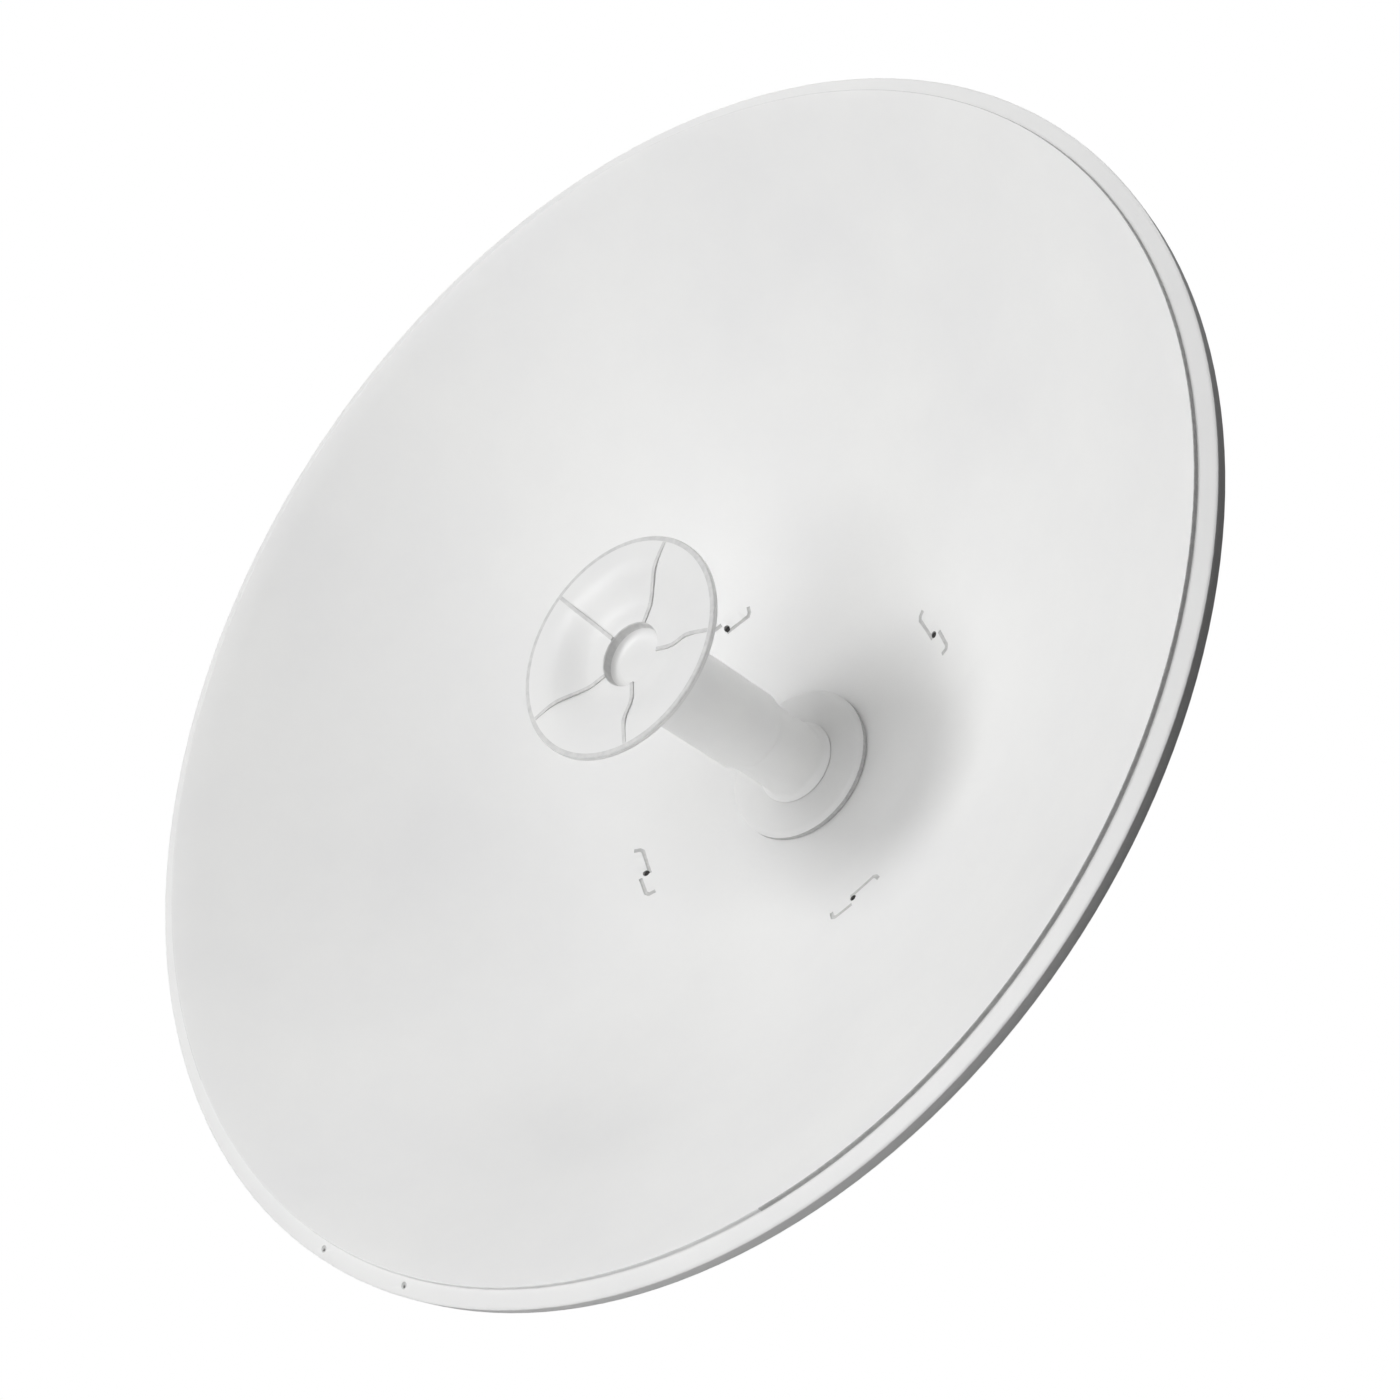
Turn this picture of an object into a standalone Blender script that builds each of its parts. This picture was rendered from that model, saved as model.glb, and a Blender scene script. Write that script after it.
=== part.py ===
# Parabolic dish antenna with a splash feed, its rear bracket and its pole clamp.
# Metres, +Z up. The dish looks along -Y. The origin is on the flat pad that bears on the pole.

import math

import bmesh
import bpy
from mathutils import Matrix, Vector

# Driving dimensions of the reflector
RIM_RADIUS = 0.325
LIP_DEPTH = 0.0075
SHEET = 0.0015
FLANGE_DROP = 0.0011
STEP_RADIUS = 0.3155
STEP_HEIGHT = 0.0026
BOWL_DEPTH = 0.1527
PAD_RADIUS = 0.044
RIM_HOLE_RADIUS = 0.0023
RIM_HOLE_CIRCLE = 0.3205
RIM_HOLE_ANGLES = (-90.0, -101.0)

# Driving dimensions of the feed
COLLAR_RADIUS = 0.042
COLLAR_HEIGHT = 0.005
SPIGOT_RADIUS = 0.0195
TUBE_BASE_RADIUS = 0.0198
TUBE_RADIUS = 0.022
TUBE_STEP_FORWARD = -0.104
SUB_RADIUS = 0.060
SUB_FRONT = 0.0041
SUB_EDGE = 0.003
SUB_BACK = -0.016
SUB_PIT_RADIUS = 0.017
SUB_PIT_DEPTH = 0.0075

# Driving dimensions of what carries the dish
STUD_CIRCLE = 0.102
STUD_RADIUS = 0.0028
RING_INNER = 0.090
RING_OUTER = 0.117
RING_BACK = -0.158
RING_WALL = 0.005
BOSS_RADIUS = 0.0065
BOSS_SINK = 0.0004
PLATE_SIZE = 0.196
PLATE_CORNER = 0.034
STEEL = 0.004
HUB_RADIUS = 0.054
HUB_BACK = -0.176
PORT_SPACING = 0.044

CHEEK_GAP = 0.0583
CHEEK_HEIGHT = 0.104
CHEEK_BACK = -0.236
PIVOT_FORWARD = -0.206
PIVOT_DROP = 0.032
LOCK_RADIUS = 0.064
LOCK_SWING = 16.0
PIVOT_BOLT_RADIUS = 0.005

# Driving dimensions of the pole clamp
PAD_TO_RIM = 0.262
SADDLE_WIDTH = 0.044
SADDLE_HEIGHT = 0.096
SADDLE_THICKNESS = 0.008
CHANNEL_WIDTH = 0.116
CHANNEL_HEIGHT = 0.104
POLE_RADIUS = 0.024
JAW_HEIGHT = 0.070
CLAMP_BOLT_RADIUS = 0.004
CLAMP_BOLT_X = 0.040
CLAMP_BOLT_Z = 0.024
CLAMP_CORNERS = ((-1, 1), (1, 1), (1, -1), (-1, -1))

# Shared values
GAP = 0.0003
FACETS = 72
BOWL_STEPS = 12
SMALL_FACETS = 32
BOLT_FACETS = 16

# The bowl is a paraboloid: its front surface is VERTEX + CURVATURE * radius squared
BOWL_EDGE = FLANGE_DROP + STEP_HEIGHT
CURVATURE = BOWL_DEPTH / (STEP_RADIUS ** 2 - PAD_RADIUS ** 2)
VERTEX = BOWL_EDGE - CURVATURE * STEP_RADIUS ** 2
PAD_FRONT = VERTEX + CURVATURE * PAD_RADIUS ** 2
COLLAR_FRONT = PAD_FRONT + GAP + COLLAR_HEIGHT


def clear_scene():
    for item in list(bpy.data.objects):
        bpy.data.objects.remove(item)


def make_material(name, color, roughness, metallic):
    material = bpy.data.materials.new(name)
    material.use_nodes = True
    shader = material.node_tree.nodes["Principled BSDF"]
    shader.inputs["Base Color"].default_value = (*color, 1.0)
    shader.inputs["Roughness"].default_value = roughness
    shader.inputs["Metallic"].default_value = metallic
    return material


def add_object(name, mesh_data, material, round_angle=None):
    item = bpy.data.objects.new(name, mesh_data)
    bpy.context.scene.collection.objects.link(item)
    mesh_data.materials.append(material)
    if round_angle is not None:
        mesh_data.shade_smooth()
        mesh_data.set_sharp_from_angle(angle=math.radians(round_angle))
    return item


def mesh_from(shape, name):
    """Turns a bmesh into a mesh with all its faces pointing out."""
    bmesh.ops.recalc_face_normals(shape, faces=shape.faces)
    mesh_data = bpy.data.meshes.new(name)
    shape.to_mesh(mesh_data)
    shape.free()
    return mesh_data


def turned(name, profile, material, facets=SMALL_FACETS, matrix=None, round_angle=35.0):
    """Turns a closed profile of (radius, forward) points round the dish's axis.

    A point of radius 0 lies on the axis. Forward is along -Y, measured from the rim's front.
    """
    shape = bmesh.new()
    rings = []
    for radius, forward in profile:
        if radius == 0.0:
            rings.append([shape.verts.new((0.0, 0.0, forward))])
            continue
        ring = []
        for i in range(facets):
            turn = 2.0 * math.pi * i / facets
            ring.append(shape.verts.new((radius * math.cos(turn), radius * math.sin(turn), forward)))
        rings.append(ring)
    for near, far in zip(rings, rings[1:] + rings[:1]):
        if len(near) == 1 and len(far) == 1:
            continue
        for i in range(facets):
            after = (i + 1) % facets
            if len(near) == 1:
                shape.faces.new((near[0], far[i], far[after]))
            elif len(far) == 1:
                shape.faces.new((near[i], near[after], far[0]))
            else:
                shape.faces.new((near[i], near[after], far[after], far[i]))
    shape.transform(AXIS_TO_WORLD if matrix is None else matrix)
    return add_object(name, mesh_from(shape, name), material, round_angle)


def extruded(name, outline, depth, material, matrix):
    """Extrudes an outline in X and Y by the depth along Z, then places it."""
    shape = bmesh.new()
    corners = [shape.verts.new((x, y, 0.0)) for x, y in outline]
    face = shape.faces.new(corners)
    grown = bmesh.ops.extrude_face_region(shape, geom=[face])
    moved = [part for part in grown["geom"] if isinstance(part, bmesh.types.BMVert)]
    bmesh.ops.translate(shape, verts=moved, vec=(0.0, 0.0, depth))
    shape.transform(matrix)
    return add_object(name, mesh_from(shape, name), material)


def cut(target, cutter):
    """Takes the cutter's shape out of the target."""
    cutter.hide_render = True
    cutter.display_type = "WIRE"
    modifier = target.modifiers.new("cut_" + cutter.name, "BOOLEAN")
    modifier.operation = "DIFFERENCE"
    modifier.object = cutter


def rod_profile(radius, back, front):
    return [(0.0, back), (radius, back), (radius, front), (0.0, front)]


def along(direction, place):
    """Matrix that turns +Z to the direction and moves it to the place."""
    turn = Vector((0.0, 0.0, 1.0)).rotation_difference(Vector(direction))
    return Matrix.Translation(place) @ turn.to_matrix().to_4x4()


def at_axis(x, forward, z):
    """World place of a point given by its distance forward of the rim's front."""
    return Vector((x, -PAD_TO_RIM - forward, z))


def ring_place(radius, degrees, forward):
    """World place on a circle round the axis, the angle from +X towards +Z."""
    turn = math.radians(degrees)
    return at_axis(radius * math.cos(turn), forward, radius * math.sin(turn))


# Takes a shape turned round Z, with its front up, to the dish's axis with its front along -Y
AXIS_TO_WORLD = Matrix(((1, 0, 0, 0), (0, 0, -1, -PAD_TO_RIM), (0, 1, 0, 0), (0, 0, 0, 1)))
TO_FRONT = (0.0, -1.0, 0.0)


def bowl_front(radius):
    return VERTEX + CURVATURE * radius ** 2


def bowl_back(radius):
    """Forward place of the bowl's back, one sheet thickness behind the front along the normal."""
    slope = 2.0 * CURVATURE * radius
    return bowl_front(radius) - SHEET * math.sqrt(1.0 + slope ** 2)


def steps(start, stop, count):
    return [start + (stop - start) * i / count for i in range(count + 1)]


def make_reflector(material):
    """One pressing: flat pad, paraboloid, small step, sloping flange and a lip turned back."""
    profile = [(0.0, PAD_FRONT), (PAD_RADIUS, PAD_FRONT)]
    profile += [(r, bowl_front(r)) for r in steps(PAD_RADIUS, STEP_RADIUS, BOWL_STEPS)[1:]]
    profile += [
        (STEP_RADIUS + 0.0004, FLANGE_DROP),
        (RIM_RADIUS, 0.0),
        (RIM_RADIUS - 0.0006, -LIP_DEPTH),
        (RIM_RADIUS - 0.0006 - SHEET, -LIP_DEPTH),
        (RIM_RADIUS - SHEET, -SHEET),
        (STEP_RADIUS - SHEET, FLANGE_DROP - SHEET),
    ]
    profile += [(r, bowl_back(r)) for r in reversed(steps(PAD_RADIUS, STEP_RADIUS - SHEET, BOWL_STEPS)[1:-1])]
    profile += [(PAD_RADIUS, PAD_FRONT - SHEET), (0.0, PAD_FRONT - SHEET)]
    reflector = turned("reflector", profile, material, FACETS)

    holes = [(0.0, 0.0, SPIGOT_RADIUS + 0.001, PAD_FRONT)]
    for i in range(4):
        holes.append((STUD_CIRCLE, 45.0 + 90.0 * i, STUD_RADIUS + GAP, bowl_front(STUD_CIRCLE)))
    for degrees in RIM_HOLE_ANGLES:
        holes.append((RIM_HOLE_CIRCLE, degrees, RIM_HOLE_RADIUS, 0.0))
    for i, (circle, degrees, radius, forward) in enumerate(holes):
        place = ring_place(circle, degrees, forward)
        facets = SMALL_FACETS if i == 0 else BOLT_FACETS
        name = "hole_cutter_%d" % (i + 1)
        cutter = turned(name, rod_profile(radius, -0.02, 0.02), material, facets, along(TO_FRONT, place))
        cut(reflector, cutter)
    return reflector


def make_feed(finish, cap_finish):
    """Collar with its spigot through the bowl, tube in two diameters, and the disc in front."""
    edge = 0.0008
    turned("feed_collar", [
        (0.0, PAD_FRONT - SHEET),
        (SPIGOT_RADIUS, PAD_FRONT - SHEET),
        (SPIGOT_RADIUS, PAD_FRONT + GAP),
        (COLLAR_RADIUS, PAD_FRONT + GAP),
        (COLLAR_RADIUS, COLLAR_FRONT - edge),
        (COLLAR_RADIUS - edge, COLLAR_FRONT),
        (0.0, COLLAR_FRONT),
    ], finish, 48)
    turned("feed_tube_base", rod_profile(TUBE_BASE_RADIUS, COLLAR_FRONT + GAP, TUBE_STEP_FORWARD), finish, 40)
    start = TUBE_STEP_FORWARD + GAP
    turned("feed_tube", [
        (0.0, start),
        (TUBE_RADIUS - 0.0015, start),
        (TUBE_RADIUS, start + 0.003),
        (TUBE_RADIUS, SUB_BACK - GAP),
        (0.0, SUB_BACK - GAP),
    ], finish, 40)
    dish_floor = SUB_FRONT - 0.010
    turned("sub_reflector", [
        (0.0, SUB_BACK),
        (TUBE_RADIUS + 0.002, SUB_BACK),
        (SUB_RADIUS - 0.004, SUB_FRONT - SUB_EDGE - 0.001),
        (SUB_RADIUS, SUB_FRONT - SUB_EDGE),
        (SUB_RADIUS, SUB_FRONT - 0.0008),
        (SUB_RADIUS - 0.0008, SUB_FRONT),
        (0.046, SUB_FRONT - 0.0006),
        (0.036, SUB_FRONT - 0.0045),
        (0.025, dish_floor + 0.0004),
        (SUB_PIT_RADIUS, dish_floor),
        (SUB_PIT_RADIUS - 0.001, dish_floor - SUB_PIT_DEPTH),
        (0.0, dish_floor - SUB_PIT_DEPTH),
    ], cap_finish, 56)


def join(target, addition):
    """Fuses another shape into the target, so that both are one body."""
    addition.hide_render = True
    addition.display_type = "WIRE"
    modifier = target.modifiers.new("join_" + addition.name, "BOOLEAN")
    modifier.operation = "UNION"
    modifier.object = addition


def make_ring(material):
    """Cast ring behind the bowl: two flanges on an inner wall, and a boss for each stud."""
    radii = steps(RING_INNER, RING_OUTER, 3)
    web = RING_INNER + RING_WALL
    front_radii = [web, (web + RING_OUTER) / 2.0, RING_OUTER]
    profile = [(r, bowl_back(r) - GAP) for r in radii]
    profile += [(r, bowl_back(r) - GAP - RING_WALL) for r in reversed(front_radii)]
    profile += [(web, RING_BACK + RING_WALL), (RING_OUTER, RING_BACK + RING_WALL), (RING_OUTER, RING_BACK),
                (RING_INNER, RING_BACK)]
    ring = turned("mount_ring", profile, material, 48)
    boss_front = bowl_back(STUD_CIRCLE - BOSS_RADIUS) - GAP - BOSS_SINK
    for i in range(4):
        place = ring_place(STUD_CIRCLE, 45.0 + 90.0 * i, 0.0)
        boss = turned("boss_%d" % (i + 1), rod_profile(BOSS_RADIUS, RING_BACK + BOSS_SINK, boss_front),
                      material, BOLT_FACETS, along(TO_FRONT, place))
        join(ring, boss)
    for i in range(4):
        place = ring_place(STUD_CIRCLE, 45.0 + 90.0 * i, RING_BACK)
        name = "ring_hole_cutter_%d" % (i + 1)
        cutter = turned(name, rod_profile(STUD_RADIUS + GAP, -0.01, 0.04), material, BOLT_FACETS,
                        along(TO_FRONT, place))
        cut(ring, cutter)


def plate_outline(half, corner):
    inner = half - corner
    return [(half, -inner), (half, inner), (inner, half), (-inner, half),
            (-half, inner), (-half, -inner), (-inner, -half), (inner, -half)]


def make_back_plate(material):
    """Square plate behind the ring, open in the middle for the feed's rear hub."""
    front = RING_BACK - GAP
    matrix = along(TO_FRONT, at_axis(0.0, front - STEEL, 0.0))
    plate = extruded("back_plate", plate_outline(PLATE_SIZE / 2.0, PLATE_CORNER), STEEL, material, matrix)
    middle = turned("plate_middle_cutter", rod_profile(HUB_RADIUS + 0.002, -0.01, 0.01), material, 48,
                    along(TO_FRONT, at_axis(0.0, front, 0.0)))
    cut(plate, middle)
    for i in range(4):
        place = ring_place(STUD_CIRCLE, 45.0 + 90.0 * i, front)
        name = "plate_hole_cutter_%d" % (i + 1)
        cutter = turned(name, rod_profile(STUD_RADIUS + GAP, -0.01, 0.01), material, BOLT_FACETS,
                        along(TO_FRONT, place))
        cut(plate, cutter)


def hexagon(radius):
    return [(radius * math.cos(math.pi * i / 3.0), radius * math.sin(math.pi * i / 3.0)) for i in range(6)]


def make_nut(name, place, direction, hole_radius, across, height, material):
    """Hexagon nut that starts at the place and reaches along the direction."""
    matrix = along(direction, place)
    nut = extruded(name, hexagon(across / math.sqrt(3.0)), height, material, matrix)
    bore = rod_profile(hole_radius, -0.01, height + 0.01)
    cutter = turned(name + "_cutter", bore, material, BOLT_FACETS, matrix)
    cut(nut, cutter)
    return nut


def make_bolt(name, place, direction, radius, length, across, head, material):
    """Hexagon bolt: the place is under its head, the shank reaches along the direction."""
    shape = bmesh.new()
    circle = [(radius * math.cos(2.0 * math.pi * i / 12), radius * math.sin(2.0 * math.pi * i / 12))
              for i in range(12)]
    outer = [shape.verts.new((x, y, 0.0)) for x, y in hexagon(across / math.sqrt(3.0))]
    top = [shape.verts.new((x, y, -head)) for x, y in hexagon(across / math.sqrt(3.0))]
    neck = [shape.verts.new((x, y, 0.0)) for x, y in circle]
    tip = [shape.verts.new((x, y, length)) for x, y in circle]
    shape.faces.new(top)
    shape.faces.new(tip)
    for i in range(6):
        after = (i + 1) % 6
        shape.faces.new((outer[i], outer[after], top[after], top[i]))
        # each side of the hexagon meets two sides of the twelve-sided shank
        shape.faces.new((outer[i], neck[2 * i], neck[2 * i + 1]))
        shape.faces.new((outer[i], neck[2 * i + 1], outer[after]))
        shape.faces.new((outer[after], neck[2 * i + 1], neck[(2 * i + 2) % 12]))
    for i in range(12):
        after = (i + 1) % 12
        shape.faces.new((neck[i], neck[after], tip[after], tip[i]))
    shape.transform(along(direction, place))
    return add_object(name, mesh_from(shape, name), material)


def make_studs(stud_finish, nut_finish):
    """Four studs, pressed flush into the bowl, that go through the ring and the plate to nuts."""
    plate_back = RING_BACK - GAP - STEEL
    head_front = bowl_front(STUD_CIRCLE) - 0.0004
    for i in range(4):
        degrees = 45.0 + 90.0 * i
        stud = [(0.0, plate_back - 0.0075), (STUD_RADIUS, plate_back - 0.0075), (STUD_RADIUS, head_front),
                (0.0, head_front)]
        base = ring_place(STUD_CIRCLE, degrees, 0.0)
        turned("mount_stud_%d" % (i + 1), stud, stud_finish, BOLT_FACETS, along(TO_FRONT, base))
        seat = ring_place(STUD_CIRCLE, degrees, plate_back - GAP)
        make_nut("mount_nut_%d" % (i + 1), seat, (0.0, 1.0, 0.0), STUD_RADIUS + GAP, 0.010, 0.005, nut_finish)


def make_hub(finish, metal):
    """Rear end of the feed with its two coaxial ports."""
    front = PAD_FRONT - SHEET - GAP
    turned("feed_hub", [
        (0.0, HUB_BACK),
        (HUB_RADIUS - 0.003, HUB_BACK),
        (HUB_RADIUS, HUB_BACK + 0.003),
        (HUB_RADIUS, front - 0.006),
        (PAD_RADIUS - 0.002, front),
        (0.0, front),
    ], finish, 48)
    for side, label in ((-1, "left"), (1, "right")):
        base = at_axis(side * PORT_SPACING / 2.0, HUB_BACK - GAP, 0.0)
        turned("port_" + label, [
            (0.0, 0.0),
            (0.0105, 0.0),
            (0.0105, 0.005),
            (0.0075, 0.0055),
            (0.0075, 0.016),
            (0.0055, 0.016),
            (0.0055, 0.009),
            (0.0018, 0.009),
            (0.0018, 0.014),
            (0.0, 0.014),
        ], metal, 20, along((0.0, 1.0, 0.0), base))


def arc(centre, radius, start, stop, count):
    """Points on an arc, angles in degrees."""
    points = []
    for degrees in steps(start, stop, count):
        turn = math.radians(degrees)
        points.append((centre[0] + radius * math.cos(turn), centre[1] + radius * math.sin(turn)))
    return points


def make_cheeks(material):
    """Two upright plates welded to the back plate, each with a pivot hole and a curved slot."""
    front = -PAD_TO_RIM - (RING_BACK - 2.0 * GAP - STEEL)
    back = -PAD_TO_RIM - CHEEK_BACK
    pivot = (-PAD_TO_RIM - PIVOT_FORWARD, -PIVOT_DROP)
    half = CHEEK_HEIGHT / 2.0
    nose = half - 0.016
    outline = [(front, -half), (back - 0.016, -half), (back, -nose), (back, nose), (back - 0.016, half),
               (front, half)]
    slot_half = PIVOT_BOLT_RADIUS - 0.001 + GAP
    swing = (90.0 - LOCK_SWING, 90.0 + LOCK_SWING)
    slot = arc(pivot, LOCK_RADIUS + slot_half, swing[0], swing[1], 8)
    slot += arc(pivot, LOCK_RADIUS - slot_half, swing[1], swing[0], 8)
    for side, label in ((-1, "left"), (1, "right")):
        # the outline lies in Y and Z, and is extruded along X
        base = side * CHEEK_GAP if side > 0 else -CHEEK_GAP - STEEL
        matrix = Matrix(((0, 0, 1, base), (1, 0, 0, 0), (0, 1, 0, 0), (0, 0, 0, 1)))
        cheek = extruded("cheek_" + label, outline, STEEL, material, matrix)
        wide = Matrix(((0, 0, 1, base - 0.01), (1, 0, 0, 0), (0, 1, 0, 0), (0, 0, 0, 1)))
        cut(cheek, extruded("slot_cutter_" + label, slot, 0.024, material, wide))
        hole = turned("pivot_cutter_" + label, rod_profile(PIVOT_BOLT_RADIUS + GAP, -0.01, 0.024), material,
                      BOLT_FACETS, along((1.0, 0.0, 0.0), (base, pivot[0], pivot[1])))
        cut(cheek, hole)


def make_channel(material):
    """U-shaped bracket between the cheeks, with the pole pad on its web."""
    web_back = -SADDLE_THICKNESS - GAP
    reach = -PAD_TO_RIM - PIVOT_FORWARD - 0.016
    outer = CHANNEL_WIDTH / 2.0
    inner = outer - STEEL
    outline = [(-outer, reach), (-inner, reach), (-inner, web_back - STEEL), (inner, web_back - STEEL),
               (inner, reach), (outer, reach), (outer, web_back), (-outer, web_back)]
    matrix = Matrix.Translation((0.0, 0.0, -CHANNEL_HEIGHT / 2.0))
    channel = extruded("pole_channel", outline, CHANNEL_HEIGHT, material, matrix)
    pivot_y = -PAD_TO_RIM - PIVOT_FORWARD
    for name, z, radius in (("pivot", -PIVOT_DROP, PIVOT_BOLT_RADIUS),
                            ("lock", LOCK_RADIUS - PIVOT_DROP, PIVOT_BOLT_RADIUS - 0.001)):
        cutter = turned("channel_%s_cutter" % name, rod_profile(radius + GAP, -0.08, 0.08), material,
                        BOLT_FACETS, along((1.0, 0.0, 0.0), (0.0, pivot_y, z)))
        cut(channel, cutter)
    for i, (sx, sz) in enumerate(CLAMP_CORNERS):
        place = (sx * CLAMP_BOLT_X, web_back, sz * CLAMP_BOLT_Z)
        cutter = turned("web_hole_cutter_%d" % (i + 1), rod_profile(CLAMP_BOLT_RADIUS + GAP, -0.01, 0.01),
                        material, BOLT_FACETS, along((0.0, 1.0, 0.0), place))
        cut(channel, cutter)


def make_elevation_bolts(material):
    """One long pivot bolt through both cheeks, and a short lock bolt in each slot."""
    outer = CHEEK_GAP + STEEL + GAP
    pivot = (-PAD_TO_RIM - PIVOT_FORWARD, -PIVOT_DROP)
    lock = (pivot[0], LOCK_RADIUS - PIVOT_DROP)
    make_bolt("pivot_bolt", (outer, pivot[0], pivot[1]), (-1.0, 0.0, 0.0), PIVOT_BOLT_RADIUS,
              2.0 * outer + 0.011, 0.017, 0.0064, material)
    make_nut("pivot_nut", (-outer, pivot[0], pivot[1]), (-1.0, 0.0, 0.0), PIVOT_BOLT_RADIUS + GAP, 0.017,
             0.008, material)
    lock_radius = PIVOT_BOLT_RADIUS - 0.001
    inner = CHANNEL_WIDTH / 2.0 - STEEL - GAP
    for side, label in ((-1, "left"), (1, "right")):
        make_bolt("lock_bolt_" + label, (side * outer, lock[0], lock[1]), (-side, 0.0, 0.0), lock_radius,
                  0.020, 0.013, 0.0053, material)
        make_nut("lock_nut_" + label, (side * inner, lock[0], lock[1]), (-side, 0.0, 0.0), lock_radius + GAP,
                 0.013, 0.0065, material)


def make_clamp(saddle_finish, jaw_finish, bolt_finish):
    """Flat pad, V-shaped rear jaw, and the four long bolts that draw them together."""
    half_width = SADDLE_WIDTH / 2.0
    half_height = SADDLE_HEIGHT / 2.0
    outline = [(-half_width, -half_height), (half_width, -half_height), (half_width, half_height),
               (-half_width, half_height)]
    extruded("pole_pad", outline, SADDLE_THICKNESS, saddle_finish, along(TO_FRONT, (0.0, 0.0, 0.0)))

    # the jaw's two slopes touch the pole at 45 degrees
    apex = POLE_RADIUS * (1.0 + math.sqrt(2.0))
    mouth = 0.028
    flat = 0.004
    wing_front = apex - mouth
    wing_back = wing_front + 0.010
    jaw_back = apex + 0.008
    wing = 0.052
    shoulder = wing - 0.022
    profile = [(-wing, wing_front), (-mouth, wing_front), (-flat, apex - flat), (flat, apex - flat),
               (mouth, wing_front), (wing, wing_front), (wing, wing_back), (shoulder, wing_back),
               (flat + 0.006, jaw_back), (-flat - 0.006, jaw_back), (-shoulder, wing_back),
               (-wing, wing_back)]
    matrix = Matrix.Translation((0.0, 0.0, -JAW_HEIGHT / 2.0))
    jaw = extruded("rear_jaw", profile, JAW_HEIGHT, jaw_finish, matrix)

    head_seat = -SADDLE_THICKNESS - 2.0 * GAP - STEEL
    nut_seat = wing_back + GAP
    length = nut_seat - head_seat + 0.016
    for i, (sx, sz) in enumerate(CLAMP_CORNERS):
        x = sx * CLAMP_BOLT_X
        z = sz * CLAMP_BOLT_Z
        cutter = turned("jaw_hole_cutter_%d" % (i + 1), rod_profile(CLAMP_BOLT_RADIUS + GAP, -0.04, 0.04),
                        jaw_finish, BOLT_FACETS, along((0.0, 1.0, 0.0), (x, wing_front, z)))
        cut(jaw, cutter)
        make_bolt("clamp_bolt_%d" % (i + 1), (x, head_seat, z), (0.0, 1.0, 0.0), CLAMP_BOLT_RADIUS, length,
                  0.013, 0.0053, bolt_finish)
        make_nut("clamp_nut_%d" % (i + 1), (x, nut_seat, z), (0.0, 1.0, 0.0), CLAMP_BOLT_RADIUS + GAP, 0.013,
                 0.0068, bolt_finish)


def main():
    clear_scene()
    dish_paint = make_material("dish_paint", (0.72, 0.73, 0.74), 0.45, 0.0)
    feed_paint = make_material("feed_paint", (0.66, 0.67, 0.68), 0.5, 0.0)
    cap_plastic = make_material("cap_plastic", (0.78, 0.79, 0.80), 0.4, 0.0)
    cast_metal = make_material("cast_metal", (0.55, 0.56, 0.57), 0.5, 0.9)
    galvanised = make_material("galvanised", (0.50, 0.51, 0.52), 0.45, 0.9)
    zinc = make_material("zinc", (0.60, 0.60, 0.58), 0.35, 1.0)
    dark_stud = make_material("dark_stud", (0.03, 0.03, 0.03), 0.5, 0.8)

    make_reflector(dish_paint)
    make_feed(feed_paint, cap_plastic)
    make_ring(cast_metal)
    make_back_plate(galvanised)
    make_studs(dark_stud, zinc)
    make_hub(cast_metal, zinc)
    make_cheeks(galvanised)
    make_channel(galvanised)
    make_elevation_bolts(zinc)
    make_clamp(cast_metal, cast_metal, zinc)


main()
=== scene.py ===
# Parabolic dish antenna on its pole clamp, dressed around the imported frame.
# Metres, +Z up. The dish looks along -Y, and the pole pad's flat face is at y = 0.
import math

import bpy
from mathutils import Matrix, Vector


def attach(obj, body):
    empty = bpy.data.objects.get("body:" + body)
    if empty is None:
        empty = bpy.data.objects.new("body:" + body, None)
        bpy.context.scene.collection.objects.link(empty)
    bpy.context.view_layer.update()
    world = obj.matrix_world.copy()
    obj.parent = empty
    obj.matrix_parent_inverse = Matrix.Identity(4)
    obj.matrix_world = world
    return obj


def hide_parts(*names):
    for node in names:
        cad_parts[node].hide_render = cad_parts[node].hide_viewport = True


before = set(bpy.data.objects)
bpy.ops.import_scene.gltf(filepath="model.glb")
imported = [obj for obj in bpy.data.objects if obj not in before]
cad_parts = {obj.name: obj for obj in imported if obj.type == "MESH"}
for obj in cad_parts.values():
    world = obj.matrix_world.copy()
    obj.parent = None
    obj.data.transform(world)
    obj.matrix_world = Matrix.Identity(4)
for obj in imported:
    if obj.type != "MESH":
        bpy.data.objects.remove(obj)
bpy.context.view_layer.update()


# The bowl: one aluminium sheet 1.5 mm thick, pressed to a paraboloid with a flat pad in its middle.
# Near the rim it has a small step, then a sloping flange, and a lip that is turned back for stiffness.
# Each of the four studs sits in a shallow pressed mark, and two drain holes go through the flange.
# All that is called forward is counted from the rim's plane towards the front
RIM_PLANE_Y = -0.262
RIM_RADIUS = 0.325
LIP_DEPTH = 0.0075
SHEET = 0.0015
STEP_RADIUS = 0.3155
FLANGE_FORWARD = 0.0011
CREST_FORWARD = 0.0037
BOWL_DEPTH = 0.1527
PAD_RADIUS = 0.044
CENTRE_HOLE_RADIUS = 0.0205
STUD_CIRCLE = 0.102
STUD_TIP_RADIUS = 0.0016
STUD_ANGLES = (45.0, 135.0, 225.0, 315.0)
DRAIN_RADIUS = 0.0007
DRAIN_CIRCLE = 0.3205
DRAIN_ANGLES = (-90.0, -101.0)
# The step's wall gets no painted shade below this share of the radius
UNSHADED_BELOW = -0.80
GROOVE_RADIUS = 0.0016
GROOVE_LIFT = 0.0012
GROOVE_END = 0.0003
GROOVE_SIDES = 12
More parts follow.
